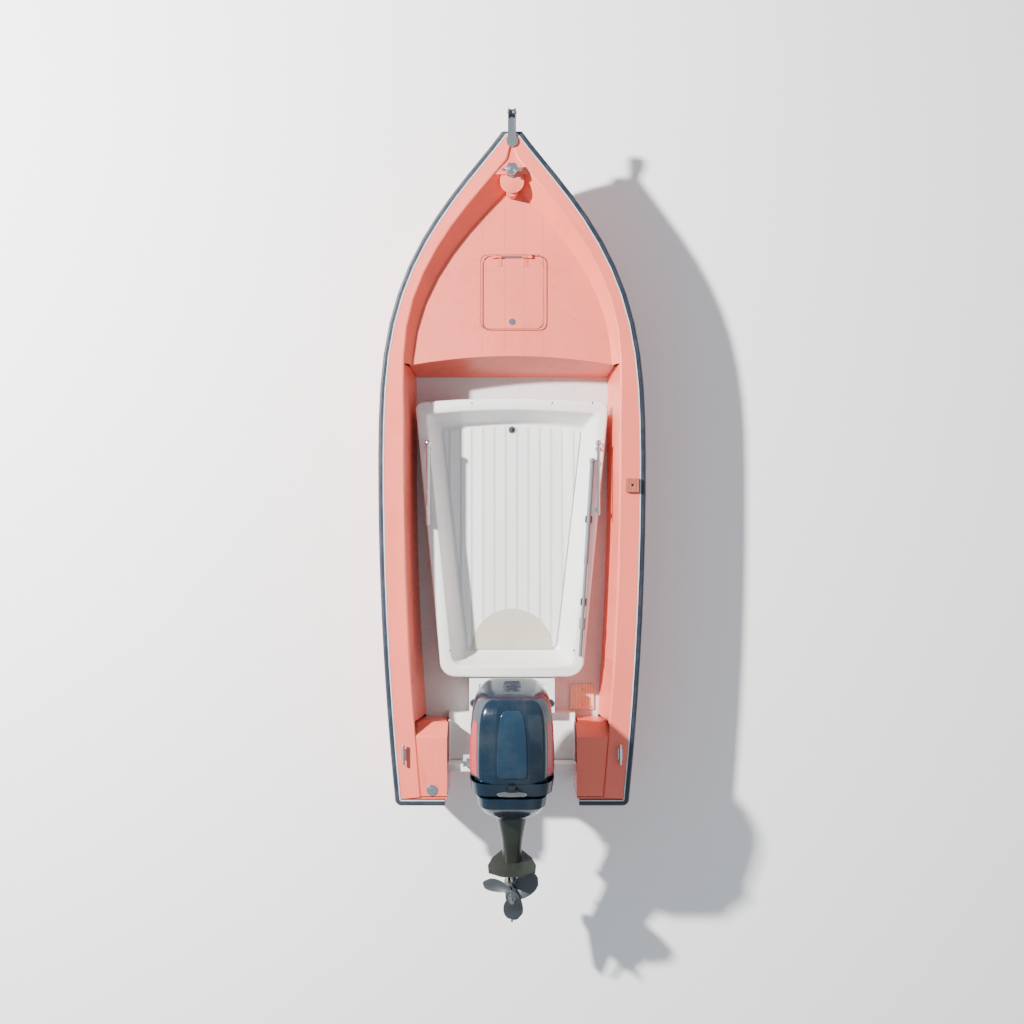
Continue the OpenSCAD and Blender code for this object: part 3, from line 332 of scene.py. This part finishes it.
def make_materials():
    c = colours()
    steel_base = (0.62, 0.65, 0.68, 1)
    made = {
        "hull_gelcoat": gelcoat("hull_gelcoat", c.hull, c.deep, 0.26, 0.0003, 0.5),
        "deck_gelcoat": gelcoat("deck_gelcoat", c.deck, c.deep, 0.38, 0.0006, 0.15),
        "foredeck_nonskid": nonskid("foredeck_nonskid", c.deck, c.deep, 130.0, 0.0012,
                                    (-0.18, -0.043, 0.073, 0.19)),
        "white_gelcoat": gelcoat("white_gelcoat", c.white, c.grime, 0.34, 0.0004, 0.2),
        "sole_nonskid": nonskid("sole_nonskid", shade(c.white, 0.86), c.grime, 110.0, 0.0012),
        "white_planks": planked("white_planks", c.white, c.grime, 0.0715),
        "tan_nonskid": nonskid("tan_nonskid", c.tan, shade(c.tan, 0.6), 160.0, 0.0010),
        "panel_wood": wood("panel_wood", (0.80, 0.60, 0.42, 1), (0.68, 0.45, 0.28, 1)),
        "block_wood": wood("block_wood", (0.45, 0.12, 0.07, 1), (0.26, 0.06, 0.04, 1)),
        "rail_rubber": rubber("rail_rubber", c.rubber),
        # hatch seal: rubber whose dark maroon is painted shade of the gap round the lid
        "painted_gap_shade_rubber": rubber("painted_gap_shade_rubber", (0.16, 0.03, 0.035, 1)),
        "insert_vinyl": vinyl("insert_vinyl", c.vinyl),
        "polished_steel": steel("polished_steel", steel_base, 0.12),
        "worn_steel": steel("worn_steel", shade(steel_base, 0.6), 0.3),
        "pole_metal": cast_paint("pole_metal", (0.16, 0.18, 0.20, 1), (0.5, 0.5, 0.5, 1), 0.35),
        "tank_plastic": plain_plastic("tank_plastic", (0.35, 0.02, 0.015, 1), 0.4),
        "battery_plastic": plain_plastic("battery_plastic", (0.012, 0.012, 0.014, 1), 0.38),
        "bracket_paint": cast_paint("bracket_paint", (0.012, 0.020, 0.032, 1), (0.35, 0.35, 0.36, 1), 0.38),
        "leg_paint": cast_paint("leg_paint", c.leg, (0.30, 0.30, 0.28, 1), 0.30),
        "propeller_metal": cast_paint("propeller_metal", c.blade, (0.45, 0.46, 0.47, 1), 0.32, 0.0002),
        "engine_metal": cast_paint("engine_metal", (0.15, 0.15, 0.16, 1), (0.5, 0.5, 0.5, 1), 0.42),
        "cowl_gloss": cowl_paint("cowl_gloss", c.cowl, (0.05, 0.10, 0.16, 1), 0.14),
        "panel_gloss": cowl_paint("panel_gloss", shade(c.cowl, 1.8), (0.10, 0.16, 0.22, 1), 0.10),
        "floor": floor_paint("floor", (0.93, 0.93, 0.93, 1)),
        "trim_red": cowl_paint("trim_red", c.trim, (0.55, 0.16, 0.12, 1), 0.24, 0.2, 0.1),
    }
    return made


MATERIALS = {}


# ------------------------------------------------------------------ meshes
def put_in_scene(name, mesh, node, material, replaced=(), smooth_deg=35.0):
    """Links a mesh as a piece that rides with the CAD node's body, and hides the CAD nodes it replaces."""
    piece = bpy.data.objects.new(name, mesh)
    bpy.context.scene.collection.objects.link(piece)
    mesh.materials.clear()
    mesh.materials.append(MATERIALS[material])
    mesh.shade_smooth()
    mesh.set_sharp_from_angle(angle=math.radians(smooth_deg))
    if replaced:
        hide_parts(*replaced)
    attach(piece, NODE_BODY[node])
    return piece


def cleaned(node, weld=2e-5, flat_deg=0.6):
    """Copy of a CAD node's mesh with its corners welded and its flat faces joined."""
    mesh = frame["nodes"][node].data.copy()
    bm = bmesh.new()
    bm.from_mesh(mesh)
    bmesh.ops.remove_doubles(bm, verts=bm.verts, dist=weld)
    bmesh.ops.dissolve_limit(bm, angle_limit=math.radians(flat_deg), verts=bm.verts, edges=bm.edges)
    bmesh.ops.recalc_face_normals(bm, faces=bm.faces)
    bm.to_mesh(mesh)
    bm.free()
    return mesh


def apply_modifiers(piece):
    """Writes the piece's modifiers into its mesh."""
    depsgraph = bpy.context.evaluated_depsgraph_get()
    mesh = bpy.data.meshes.new_from_object(piece.evaluated_get(depsgraph))
    piece.modifiers.clear()
    piece.data = mesh


def dress(node, material, edge=None, corner_deg=32.0, smooth_deg=40.0):
    """The CAD node as a finished piece: welded, with rounded edges and smooth curves."""
    piece = put_in_scene(node + "_finished", cleaned(node), node, material, (node,), smooth_deg)
    rounding = piece.modifiers.new("rounded edges", "BEVEL")
    rounding.width = sizes().hard_edge if edge is None else edge
    rounding.segments = 2
    rounding.limit_method = "ANGLE"
    rounding.angle_limit = math.radians(corner_deg)
    rounding.use_clamp_overlap = True
    rounding.harden_normals = True
    apply_modifiers(piece)
    return piece


def dress_all(nodes, material, **how):
    for node in nodes:
        dress(node, material, **how)


def loft(name, rings, closed_ends=True):
    """Mesh skin over rings of equal length."""
    bm = bmesh.new()
    rows = [[bm.verts.new(p) for p in ring] for ring in rings]
    count = len(rows[0])
    for low, high in zip(rows, rows[1:]):
        for i in range(count):
            j = (i + 1) % count
            bm.faces.new((low[i], low[j], high[j], high[i]))
    if closed_ends:
        bm.faces.new(rows[0][::-1])
        bm.faces.new(rows[-1])
    bmesh.ops.recalc_face_normals(bm, faces=bm.faces)
    mesh = bpy.data.meshes.new(name)
    bm.to_mesh(mesh)
    bm.free()
    return mesh


# ------------------------------------------------------------------ the motor's own frame
def motor_matrix():
    """Motor's axes in the frame: origin on the tilt axis, X to starboard, Y along the shaft of the
    propeller and forward, Z up the king pin."""
    up = Vector(JOINTS["steer"]["axis"]).normalized()
    ahead = up.cross(Vector((1, 0, 0))).normalized()
    origin = Vector(JOINTS["motor_tilt"]["pos_m"])
    axes = Matrix((Vector((1, 0, 0)), ahead, up)).transposed().to_4x4()
    return Matrix.Translation(origin) @ axes


def local_extents(node, inverse):
    """Smallest and largest corner of a CAD node in the motor's own frame."""
    points = [inverse @ v.co for v in frame["nodes"][node].data.vertices]
    low = Vector([min(p[i] for p in points) for i in range(3)])
    high = Vector([max(p[i] for p in points) for i in range(3)])
    return low, high


def rounded_loop(corners, steps=6):
    """Closed outline from (x, y, radius) corners, with the same number of points at each corner."""
    outline = []
    count = len(corners)
    for i, (x, y, radius) in enumerate(corners):
        here = Vector((x, y))
        before = Vector(corners[i - 1][:2]) - here
        after = Vector(corners[(i + 1) % count][:2]) - here
        half = before.angle(after)/2
        reach = min(radius/math.tan(half), before.length*0.46, after.length*0.46)
        start = here + before.normalized()*reach
        end = here + after.normalized()*reach
        for k in range(steps + 1):
            t = k/steps
            outline.append(start*(1 - t)**2 + here*2*t*(1 - t) + end*t**2)
    return outline


def cowl_outline(half_width, rear, front):
    """Outline of the cowl seen from its top: a flat back, a facet each side of it, long flanks."""
    deep = front - rear
    side = [(0.40*half_width, rear, 0.03), (0.77*half_width, rear + 0.055*deep, 0.05),
            (half_width, rear + 0.27*deep, 0.12), (0.985*half_width, rear + 0.62*deep, 0.30),
            (0.80*half_width, front, 0.16)]
    return rounded_loop(side + [(-x, y, r) for x, y, r in reversed(side)])


def cowl_rings(low, high, levels):
    """Rings of the cowl from its parting line to its crown: (height 0..1, inset of width, rear, front)."""
    half, rear, front = high.x, low.y, high.y
    tall = high.z - low.z
    deep = front - rear
    rings = []
    for up, narrow, lift_rear, lift_front in levels:
        outline = cowl_outline(half*(1 - narrow), rear + deep*lift_rear, front - deep*lift_front)
        rings.append([Vector((p.x, p.y, low.z + tall*up)) for p in outline])
    return rings


COWL_LEVELS = [
    (0.00, 0.030, 0.018, 0.012), (0.004, 0.006, 0.004, 0.004), (0.03, 0.000, 0.000, 0.000),
    (0.15, 0.000, 0.004, 0.002), (0.30, 0.004, 0.012, 0.004), (0.45, 0.014, 0.026, 0.010),
    (0.60, 0.028, 0.040, 0.016), (0.73, 0.056, 0.066, 0.028), (0.82, 0.098, 0.100, 0.046),
    (0.885, 0.155, 0.140, 0.070), (0.930, 0.225, 0.186, 0.096), (0.962, 0.310, 0.240, 0.130),
    (0.980, 0.410, 0.300, 0.175), (0.994, 0.540, 0.370, 0.235), (1.000, 0.700, 0.430, 0.300),
]


def cowl_level(up):
    """Width, rear and front insets of the cowl at a height of 0..1, between the listed levels."""
    for low, high in zip(COWL_LEVELS, COWL_LEVELS[1:]):
        if up <= high[0]:
            t = (up - low[0])/(high[0] - low[0])
            return [a + (b - a)*t for a, b in zip(low[1:], high[1:])]
    return list(COWL_LEVELS[-1][1:])


def build_cowl():
    """Upper cowl: smooth dome with a flat back between two facets, and a lip at its parting line."""
    placed = motor_matrix()
    low, high = local_extents("upper_cowl", placed.inverted())
    mesh = loft("upper_cowl_skin", cowl_rings(low, high, COWL_LEVELS))
    mesh.transform(placed)
    return put_in_scene("upper_cowl_skin", mesh, "upper_cowl", "cowl_gloss", ("upper_cowl",), 60)


def build_cowl_panel():
    """Raised panel down the back of the cowl, with a rounded outline."""
    placed = motor_matrix()
    low, high = local_extents("upper_cowl", placed.inverted())
    deep, tall = high.y - low.y, high.z - low.z
    proud = sizes().panel_proud
    rings = []
    spans = [(0.075, 0.60), (0.085, 0.84), (0.11, 0.97), (0.16, 1.0), (0.3, 1.0), (0.45, 0.98), (0.58, 0.95),
             (0.70, 0.91), (0.79, 0.86), (0.84, 0.80), (0.87, 0.66), (0.88, 0.45)]
    for up, wide in spans:
        narrow, rear_in = cowl_level(up)[:2]
        x = 0.35*high.x*(1 - narrow)*wide
        y = low.y + deep*rear_in
        edge_in = 0.6 if up in (0.075, 0.88) else 0.0
        top = y - proud*(1 - edge_in)
        corners = [(x, y + 0.006, 0.002), (-x, y + 0.006, 0.002), (-x, top, 0.004), (x, top, 0.004)]
        rings.append([Vector((p.x, p.y, low.z + tall*up)) for p in rounded_loop(corners, 4)])
    mesh = loft("cowl_back_panel", rings)
    mesh.transform(placed)
    return put_in_scene("cowl_back_panel", mesh, "upper_cowl", "panel_gloss", (), 45)


def build_cowl_stripes():
    """Stripe on each flank of the cowl, tapering to a point towards the crown."""
    placed = motor_matrix()
    low, high = local_extents("upper_cowl", placed.inverted())
    tall = high.z - low.z
    proud = sizes().stripe_proud
    pieces = []
    for side in (1, -1):
        rings = []
        for step in range(13):
            up = 0.05 + 0.66*step/12
            narrow, rear_in, front_in = cowl_level(up)
            deep = high.y - low.y
            rear, front = low.y + deep*rear_in, high.y - deep*front_in
            outline = cowl_outline(high.x*(1 - narrow), rear, front)
            flank = [p for p in outline if p.x*side > 0]
            start = rear + (0.10 + 0.02*up)*deep
            end = rear + (0.34 - 0.16*(up/0.71)**2)*deep
            on_skin = [slide_along(flank, start + (end - start)*k/8) for k in range(9)]
            outer = [Vector((p.x + side*proud, p.y - proud*0.4)) for p in on_skin]
            inner = [Vector((p.x - side*0.004, p.y + 0.002)) for p in on_skin]
            rings.append([Vector((p.x, p.y, low.z + tall*up)) for p in outer + inner[::-1]])
        mesh = loft("cowl_stripe", rings)
        mesh.transform(placed)
        name = "cowl_stripe_starboard" if side > 0 else "cowl_stripe_port"
        pieces.append(put_in_scene(name, mesh, "cowl_trim", "trim_red",
                                   ("cowl_trim",) if side > 0 else (), 50))
    return pieces


def slide_along(flank, y):
    """Point of a flank at a given distance along it."""
    ordered = sorted(flank, key=lambda p: p.y)
    for a, b in zip(ordered, ordered[1:]):
        if a.y <= y <= b.y and b.y > a.y:
            t = (y - a.y)/(b.y - a.y)
            return a + (b - a)*t
    return ordered[-1].copy()


def build_cowl_vent():
    """Louvres over the air inlet at the crown of the cowl."""
    placed = motor_matrix()
    low, high = local_extents("upper_cowl", placed.inverted())
    deep = high.y - low.y
    top = high.z
    bm = bmesh.new()
    for row in range(7):
        y = low.y + deep*(0.42 + 0.042*row)
        reach = high.x*(0.27 - 0.008*abs(row - 3))
        sections = []
        for x in [reach*(k/8 - 0.5)*2 for k in range(9)]:
            sag = 0.004*(x/reach)**2 + (0.004 if abs(x) == reach else 0)
            slat = [(-0.006, -0.004), (0.001, 0.004), (0.006, 0.005), (0.0085, 0.002), (0.002, -0.004)]
            sections.append([bm.verts.new((x, y + a, top + b - sag)) for a, b in slat])
        for a, b in zip(sections, sections[1:]):
            for i in range(5):
                j = (i + 1) % 5
                bm.faces.new((a[i], a[j], b[j], b[i]))
        bm.faces.new(sections[0][::-1])
        bm.faces.new(sections[-1])
    bmesh.ops.recalc_face_normals(bm, faces=bm.faces)
    mesh = bpy.data.meshes.new("cowl_louvres")
    bm.to_mesh(mesh)
    bm.free()
    mesh.transform(placed)
    return put_in_scene("cowl_louvres", mesh, "upper_cowl", "bracket_paint", (), 30)


def build_badge():
    """Plain oval badge with a raised rim on the back of the lower cowl, under the latch."""
    placed = motor_matrix()
    low, high = local_extents("lower_cowl", placed.inverted())
    rear = local_extents("upper_cowl", placed.inverted())[0].y
    half_w, half_h = 0.36*high.x, 0.019
    centre_z = low.z + 0.038

    def skin_y(z):
        down = max(0.0, low.z + 0.026 - z)
        return rear + 0.009 + 1.15*down

    rings = []
    for grow, out in ((1.0, -0.008), (1.0, 0.001), (0.985, 0.0035), (0.93, 0.0042), (0.88, 0.0030),
                      (0.86, 0.0018), (0.5, 0.0022), (0.08, 0.0024)):
        ring = []
        for k in range(48):
            turn = math.tau*k/48
            z = centre_z + half_h*grow*math.sin(turn)
            ring.append(Vector((half_w*grow*math.cos(turn), skin_y(z) - out, z)))
        rings.append(ring)
    mesh = loft("cowl_badge", rings)
    mesh.transform(placed)
    return put_in_scene("cowl_badge", mesh, "lower_cowl", "worn_steel", (), 35)


def paint_leg_top():
    """The flared top of the leg carries the cowl's paint."""
    piece = dress("motor_leg", "leg_paint", edge=0.004, smooth_deg=32)
    back = motor_matrix().inverted()
    piece.data.materials.append(MATERIALS["cowl_gloss"])
    for face in piece.data.polygons:
        if (back @ face.center).z > -0.135:
            face.material_index = 1
    return piece


def build_hatch_gap_shade_seal():
    """Thin rubber seal in the joint round the hatch lid. Its dark maroon is painted shade: it draws the
    shaded gap round the lid as a dark line all the way round.
    """
    low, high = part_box("hatch_lid")
    mid_x, mid_y = (low.x + high.x)/2, (low.y + high.y)/2
    half_x, half_y = (high.x - low.x)/2, (high.y - low.y)/2
    rings = []
    profile = ((-0.0005, -0.003), (-0.0005, 0.0002), (0.0008, 0.0008), (0.0026, 0.0006), (0.0034, -0.003))
    for grow, up in profile:
        x, y = half_x + grow, half_y + grow
        corners = [(x, -y, 0.052), (x, y, 0.052), (-x, y, 0.052), (-x, -y, 0.052)]
        rings.append([Vector((mid_x + p.x, mid_y + p.y, high.z + up)) for p in rounded_loop(corners, 10)])
    mesh = loft("hatch_gap_shade_seal", rings, closed_ends=False)
    # the seal's dark maroon paints the shade in the gap round the lid
    return put_in_scene("hatch_gap_shade_seal", mesh, "hatch_frame", "painted_gap_shade_rubber", (), 50)


def deck_height(y):
    """Height of the deck's top near the centreline at a distance along the boat."""
    near = [v.co.z for v in frame["nodes"]["deck_moulding"].data.vertices
            if abs(v.co.y - y) < 0.05 and abs(v.co.x) < 0.25]
    return max(near)


def build_stem_plate():
    """Moulded web that closes the deck between the stem and the bollard."""
    fore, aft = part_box("bollard")[1].y + 0.155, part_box("bollard")[0].y + 0.02
    rings = []
    for t in (0.0, 0.1, 0.3, 0.5, 0.7, 0.9, 1.0):
        y = fore + (aft - fore)*t
        half = 0.030 + 0.075*t
        top = deck_height(fore) + (deck_height(aft) - deck_height(fore))*t - 0.011
        sag = 0.004*math.sin(math.pi*t)
        across = [(half*k/4, y, top - sag*(1 - abs(k)/4)) for k in range(-4, 5)]
        below = [(half*k/4, y, top - 0.008) for k in range(4, -5, -1)]
        rings.append([Vector(p) for p in across + below])
    return put_in_scene("stem_web", loft("stem_web", rings), "deck_moulding", "deck_gelcoat", (), 30)


def build_screws():
    """Cross-slotted screw heads along the tub's rim, the hatch frame and the well."""
    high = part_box("cockpit_tub")[1]
    rim = high.z
    spots = [(0.385, -1.115, rim), (-0.385, -1.115, rim)]
    for x in (-0.5, -0.25, 0.25, 0.5):
        spots.append((x, high.y - 0.03, rim))
    box_low, box_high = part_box("locker_panel")
    for x in (box_low.x + 0.015, box_high.x - 0.015):
        for y in (box_low.y + 0.015, box_high.y - 0.015):
            spots.append((x, y, box_high.z))
    bm = bmesh.new()
    for number, spot in enumerate(spots):
        add_screw(bm, Vector(spot), 0.0065, 0.35*number)
    mesh = bpy.data.meshes.new("screws")
    bm.to_mesh(mesh)
    bm.free()
    return put_in_scene("screws", mesh, "drain_ring", "polished_steel", (), 30)


def add_screw(bm, spot, radius, turn):
    """One domed head with a cross recess, standing on a spot."""
    rows = []
    for grow, up in ((1.0, -0.0010), (1.0, 0.0006), (0.86, 0.0016), (0.55, 0.0022), (0.50, 0.0021)):
        rows.append([bm.verts.new(spot + Vector((radius*grow*math.cos(turn + math.tau*k/24),
                                                 radius*grow*math.sin(turn + math.tau*k/24), up)))
                     for k in range(24)])
    inner = []
    for k in range(24):
        deep = 0.0004 if k % 6 in (0, 1, 5) else 0.0019
        reach = radius*(0.44 if k % 6 in (0, 1, 5) else 0.18)
        angle = turn + math.tau*k/24
        inner.append(bm.verts.new(spot + Vector((reach*math.cos(angle), reach*math.sin(angle), deep))))
    rows.append(inner)
    for low, high in zip(rows, rows[1:]):
        for i in range(24):
            j = (i + 1) % 24
            bm.faces.new((low[i], low[j], high[j], high[i]))
    bm.faces.new(inner)


# ------------------------------------------------------------------ stage
def add_lamp(name, size, energy, tint, place):
    """Square lamp that points at the middle of the boat."""
    data = bpy.data.lights.new(name, "AREA")
    data.size, data.energy, data.color = size, energy, tint
    lamp = bpy.data.objects.new(name, data)
    lamp.location = place
    lamp.rotation_euler = (Vector((0, 0, 0.4)) - Vector(place)).to_track_quat("-Z", "Y").to_euler()
    bpy.context.scene.collection.objects.link(lamp)


def build_stage():
    """Pale floor, a broad light from port, soft sky and the camera overhead."""
    bm = bmesh.new()
    bmesh.ops.create_grid(bm, x_segments=80, y_segments=80, size=45.0)
    for vert in bm.verts:
        vert.co.z = -0.003 - 0.0015*(1 + noise.noise(vert.co*0.9))
    mesh = bpy.data.meshes.new("floor")
    bm.to_mesh(mesh)
    bm.free()
    floor = bpy.data.objects.new("floor", mesh)
    bpy.context.scene.collection.objects.link(floor)
    mesh.materials.append(MATERIALS["floor"])

    add_lamp("key", 0.45, 4700, (1.0, 0.975, 0.94), (-7.4, 3.4, 7.5))
    add_lamp("fill", 6.0, 90, (0.90, 0.95, 1.0), (5.0, -2.0, 6.5))

    world = bpy.data.worlds.new("sky")
    world.use_nodes = True
    world.node_tree.nodes["Background"].inputs["Color"].default_value = (0.84, 0.92, 1.0, 1)
    world.node_tree.nodes["Background"].inputs["Strength"].default_value = 0.58
    bpy.context.scene.world = world

    camera = bpy.data.cameras.new("overhead")
    camera.lens = sizes().camera_lens
    camera.sensor_width = 36
    camera.clip_end = 60
    eye = bpy.data.objects.new("overhead", camera)
    eye.location = (0, -0.2536, sizes().camera_height)
    bpy.context.scene.collection.objects.link(eye)
    bpy.context.scene.camera = eye


# ------------------------------------------------------------------ operators
class PieceOperator:
    """Shared by the operators: makes the materials if there are none yet, then builds the piece."""
    bl_options = {"REGISTER", "UNDO"}

    def execute(self, context):
        if not MATERIALS:
            MATERIALS.update(make_materials())
        self.build()
        return {"FINISHED"}


class SKIFF_OT_hull(PieceOperator, bpy.types.Operator):
    """Build the hull, its walls and its keel strip"""
    bl_idname = "skiff.hull"
    bl_label = "Hull"

    def build(self):
        dress_all(["hull_shell"], "hull_gelcoat", edge=0.003, smooth_deg=24)
        dress_all(["sponson_walls"], "hull_gelcoat", edge=0.002)
        dress_all(["keel_strip"], "rail_rubber")
        dress_all(["stringers"], "panel_wood", edge=0.002)
        dress_all(["transom_board"], "white_gelcoat", edge=0.004)


class SKIFF_OT_deck(PieceOperator, bpy.types.Operator):
    """Build the deck moulding, the foredeck and the after boxes"""
    bl_idname = "skiff.deck"
    bl_label = "Deck"

    def build(self):
        soft = sizes().soft_edge
        dress_all(["deck_moulding"], "deck_gelcoat", edge=soft, smooth_deg=30)
        dress_all(["foredeck"], "foredeck_nonskid", edge=0.003)
        dress_all(["bulkhead"], "deck_gelcoat", edge=soft)
        dress_all(["quarter_box_port", "quarter_box_starboard"], "deck_gelcoat", edge=0.008)


class SKIFF_OT_rail(PieceOperator, bpy.types.Operator):
    """Build the rub rail and its insert"""
    bl_idname = "skiff.rail"
    bl_label = "Rub rail"

    def build(self):
        dress_all(["rub_rail"], "rail_rubber", edge=0.004)
        dress_all(["rub_rail_insert"], "insert_vinyl", edge=0.0015)


class SKIFF_OT_bow(PieceOperator, bpy.types.Operator):
    """Build the pedestal, the bollard, the stem fitting and the anchor roller"""
    bl_idname = "skiff.bow"
    bl_label = "Bow fittings"

    def build(self):
        dress_all(["bow_pedestal"], "deck_gelcoat", edge=0.006)
        dress_all(["bollard", "stem_fitting", "roller_pin"], "polished_steel")
        dress_all(["anchor_roller"], "rail_rubber")
        build_stem_plate()


class SKIFF_OT_hatch(PieceOperator, bpy.types.Operator):
    """Build the hatch, its frame, hinge and latch"""
    bl_idname = "skiff.hatch"
    bl_label = "Hatch"

    def build(self):
        dress_all(["hatch_frame"], "deck_gelcoat", edge=0.003)
        dress_all(["hatch_lid"], "foredeck_nonskid", edge=0.003)
        dress_all(["hatch_hinge", "hatch_latch"], "polished_steel")
        dress_all(["fuel_tank"], "tank_plastic", edge=0.008)
        build_hatch_gap_shade_seal()


class SKIFF_OT_cockpit(PieceOperator, bpy.types.Operator):
    """Build the sole, the tub, its floor and mat, and the drain"""
    bl_idname = "skiff.cockpit"
    bl_label = "Cockpit"

    def build(self):
        dress_all(["cockpit_sole"], "sole_nonskid", edge=0.003)
        dress_all(["cockpit_tub"], "white_gelcoat", edge=0.006)
        dress_all(["tub_floor"], "white_planks", edge=0.0015)
        dress_all(["tan_mat"], "tan_nonskid", edge=0.002)
        dress_all(["drain_ring"], "polished_steel")
        dress_all(["drain_plug"], "rail_rubber")
        build_screws()


class SKIFF_OT_side_gear(PieceOperator, bpy.types.Operator):
    """Build the grab rails, the boat hook and its clips, and the rowlock block"""
    bl_idname = "skiff.side_gear"
    bl_label = "Side gear"

    def build(self):
        dress_all(["grab_rails"], "polished_steel")
        dress_all(["boat_hook"], "pole_metal")
        dress_all(["hook_clips"], "rail_rubber")
        dress_all(["rowlock_block"], "block_wood", edge=0.003)


class SKIFF_OT_well(PieceOperator, bpy.types.Operator):
    """Build the motor well: locker panel, box, battery, tray and deck fittings"""
    bl_idname = "skiff.well"
    bl_label = "Motor well"

    def build(self):
        dress_all(["locker_panel"], "panel_wood", edge=0.003)
        dress_all(["well_box", "well_tray"], "white_gelcoat", edge=0.005)
        dress_all(["battery"], "battery_plastic", edge=0.003)
        dress_all(["cable_grommets"], "rail_rubber")
        dress_all(["cleats", "filler_neck", "filler_cap"], "polished_steel")


class SKIFF_OT_bracket(PieceOperator, bpy.types.Operator):
    """Build the clamp brackets, the swivel, the tilt lever and the steering rod"""
    bl_idname = "skiff.bracket"
    bl_label = "Motor bracket"

    def build(self):
        dress_all(["clamp_brackets", "swivel_bracket", "king_pin"], "bracket_paint", edge=0.003)
        dress_all(["bracket_bolts"], "worn_steel")
        dress_all(["tilt_tube", "tilt_lever", "steering_rod"], "polished_steel")


class SKIFF_OT_leg(PieceOperator, bpy.types.Operator):
    """Build the leg, the gearcase, the shafts and the propeller"""
    bl_idname = "skiff.leg"
    bl_label = "Leg and propeller"

    def build(self):
        paint_leg_top()
        dress_all(["gearcase"], "leg_paint", edge=0.004, smooth_deg=32)
        dress_all(["anode"], "engine_metal")
        dress_all(["propeller"], "propeller_metal", edge=0.0015, smooth_deg=50)
        dress_all(["drive_shaft", "propeller_shaft", "propeller_nut"], "worn_steel")


class SKIFF_OT_cowl(PieceOperator, bpy.types.Operator):
    """Build the powerhead, the lower and upper cowls, their panel, stripes, louvres and badge"""
    bl_idname = "skiff.cowl"
    bl_label = "Powerhead and cowl"

    def build(self):
        dress_all(["powerhead", "flywheel"], "engine_metal", edge=0.003)
        dress_all(["lower_cowl"], "cowl_gloss", edge=0.003, smooth_deg=45)
        dress_all(["cowl_latch"], "battery_plastic")
        build_cowl()
        build_cowl_panel()
        build_cowl_stripes()
        build_cowl_vent()
        build_badge()


class SKIFF_OT_stage(PieceOperator, bpy.types.Operator):
    """Set the floor, the lights and the camera"""
    bl_idname = "skiff.stage"
    bl_label = "Stage"

    def build(self):
        build_stage()


OPERATORS = (
    SKIFF_OT_hull, SKIFF_OT_deck, SKIFF_OT_rail, SKIFF_OT_bow, SKIFF_OT_hatch, SKIFF_OT_cockpit,
    SKIFF_OT_side_gear, SKIFF_OT_well, SKIFF_OT_bracket, SKIFF_OT_leg, SKIFF_OT_cowl, SKIFF_OT_stage,
)


class SKIFF_PT_parts(bpy.types.Panel):
    """Lists the skiff's pieces, sizes and colours"""
    bl_idname = "SKIFF_PT_parts"
    bl_label = "Skiff"
    bl_space_type = "VIEW_3D"
    bl_region_type = "UI"
    bl_category = "Skiff"

    def draw(self, context):
        column = self.layout.column()
        for operator in OPERATORS:
            column.operator(operator.bl_idname, text=operator.bl_label)
        for group in (context.scene.skiff_sizes, context.scene.skiff_colours):
            for name in group.__annotations__:
                column.prop(group, name)


CLASSES = (SkiffColours, SkiffSizes) + OPERATORS + (SKIFF_PT_parts,)


def register():
    for cls in CLASSES:
        bpy.utils.register_class(cls)
    bpy.types.Scene.skiff_colours = bpy.props.PointerProperty(type=SkiffColours)
    bpy.types.Scene.skiff_sizes = bpy.props.PointerProperty(type=SkiffSizes)


def unregister():
    del bpy.types.Scene.skiff_sizes
    del bpy.types.Scene.skiff_colours
    for cls in reversed(CLASSES):
        bpy.utils.unregister_class(cls)


def main():
    register()
    for operator in OPERATORS:
        group, name = operator.bl_idname.split(".")
        getattr(getattr(bpy.ops, group), name)()


if __name__ == "__main__":
    main()
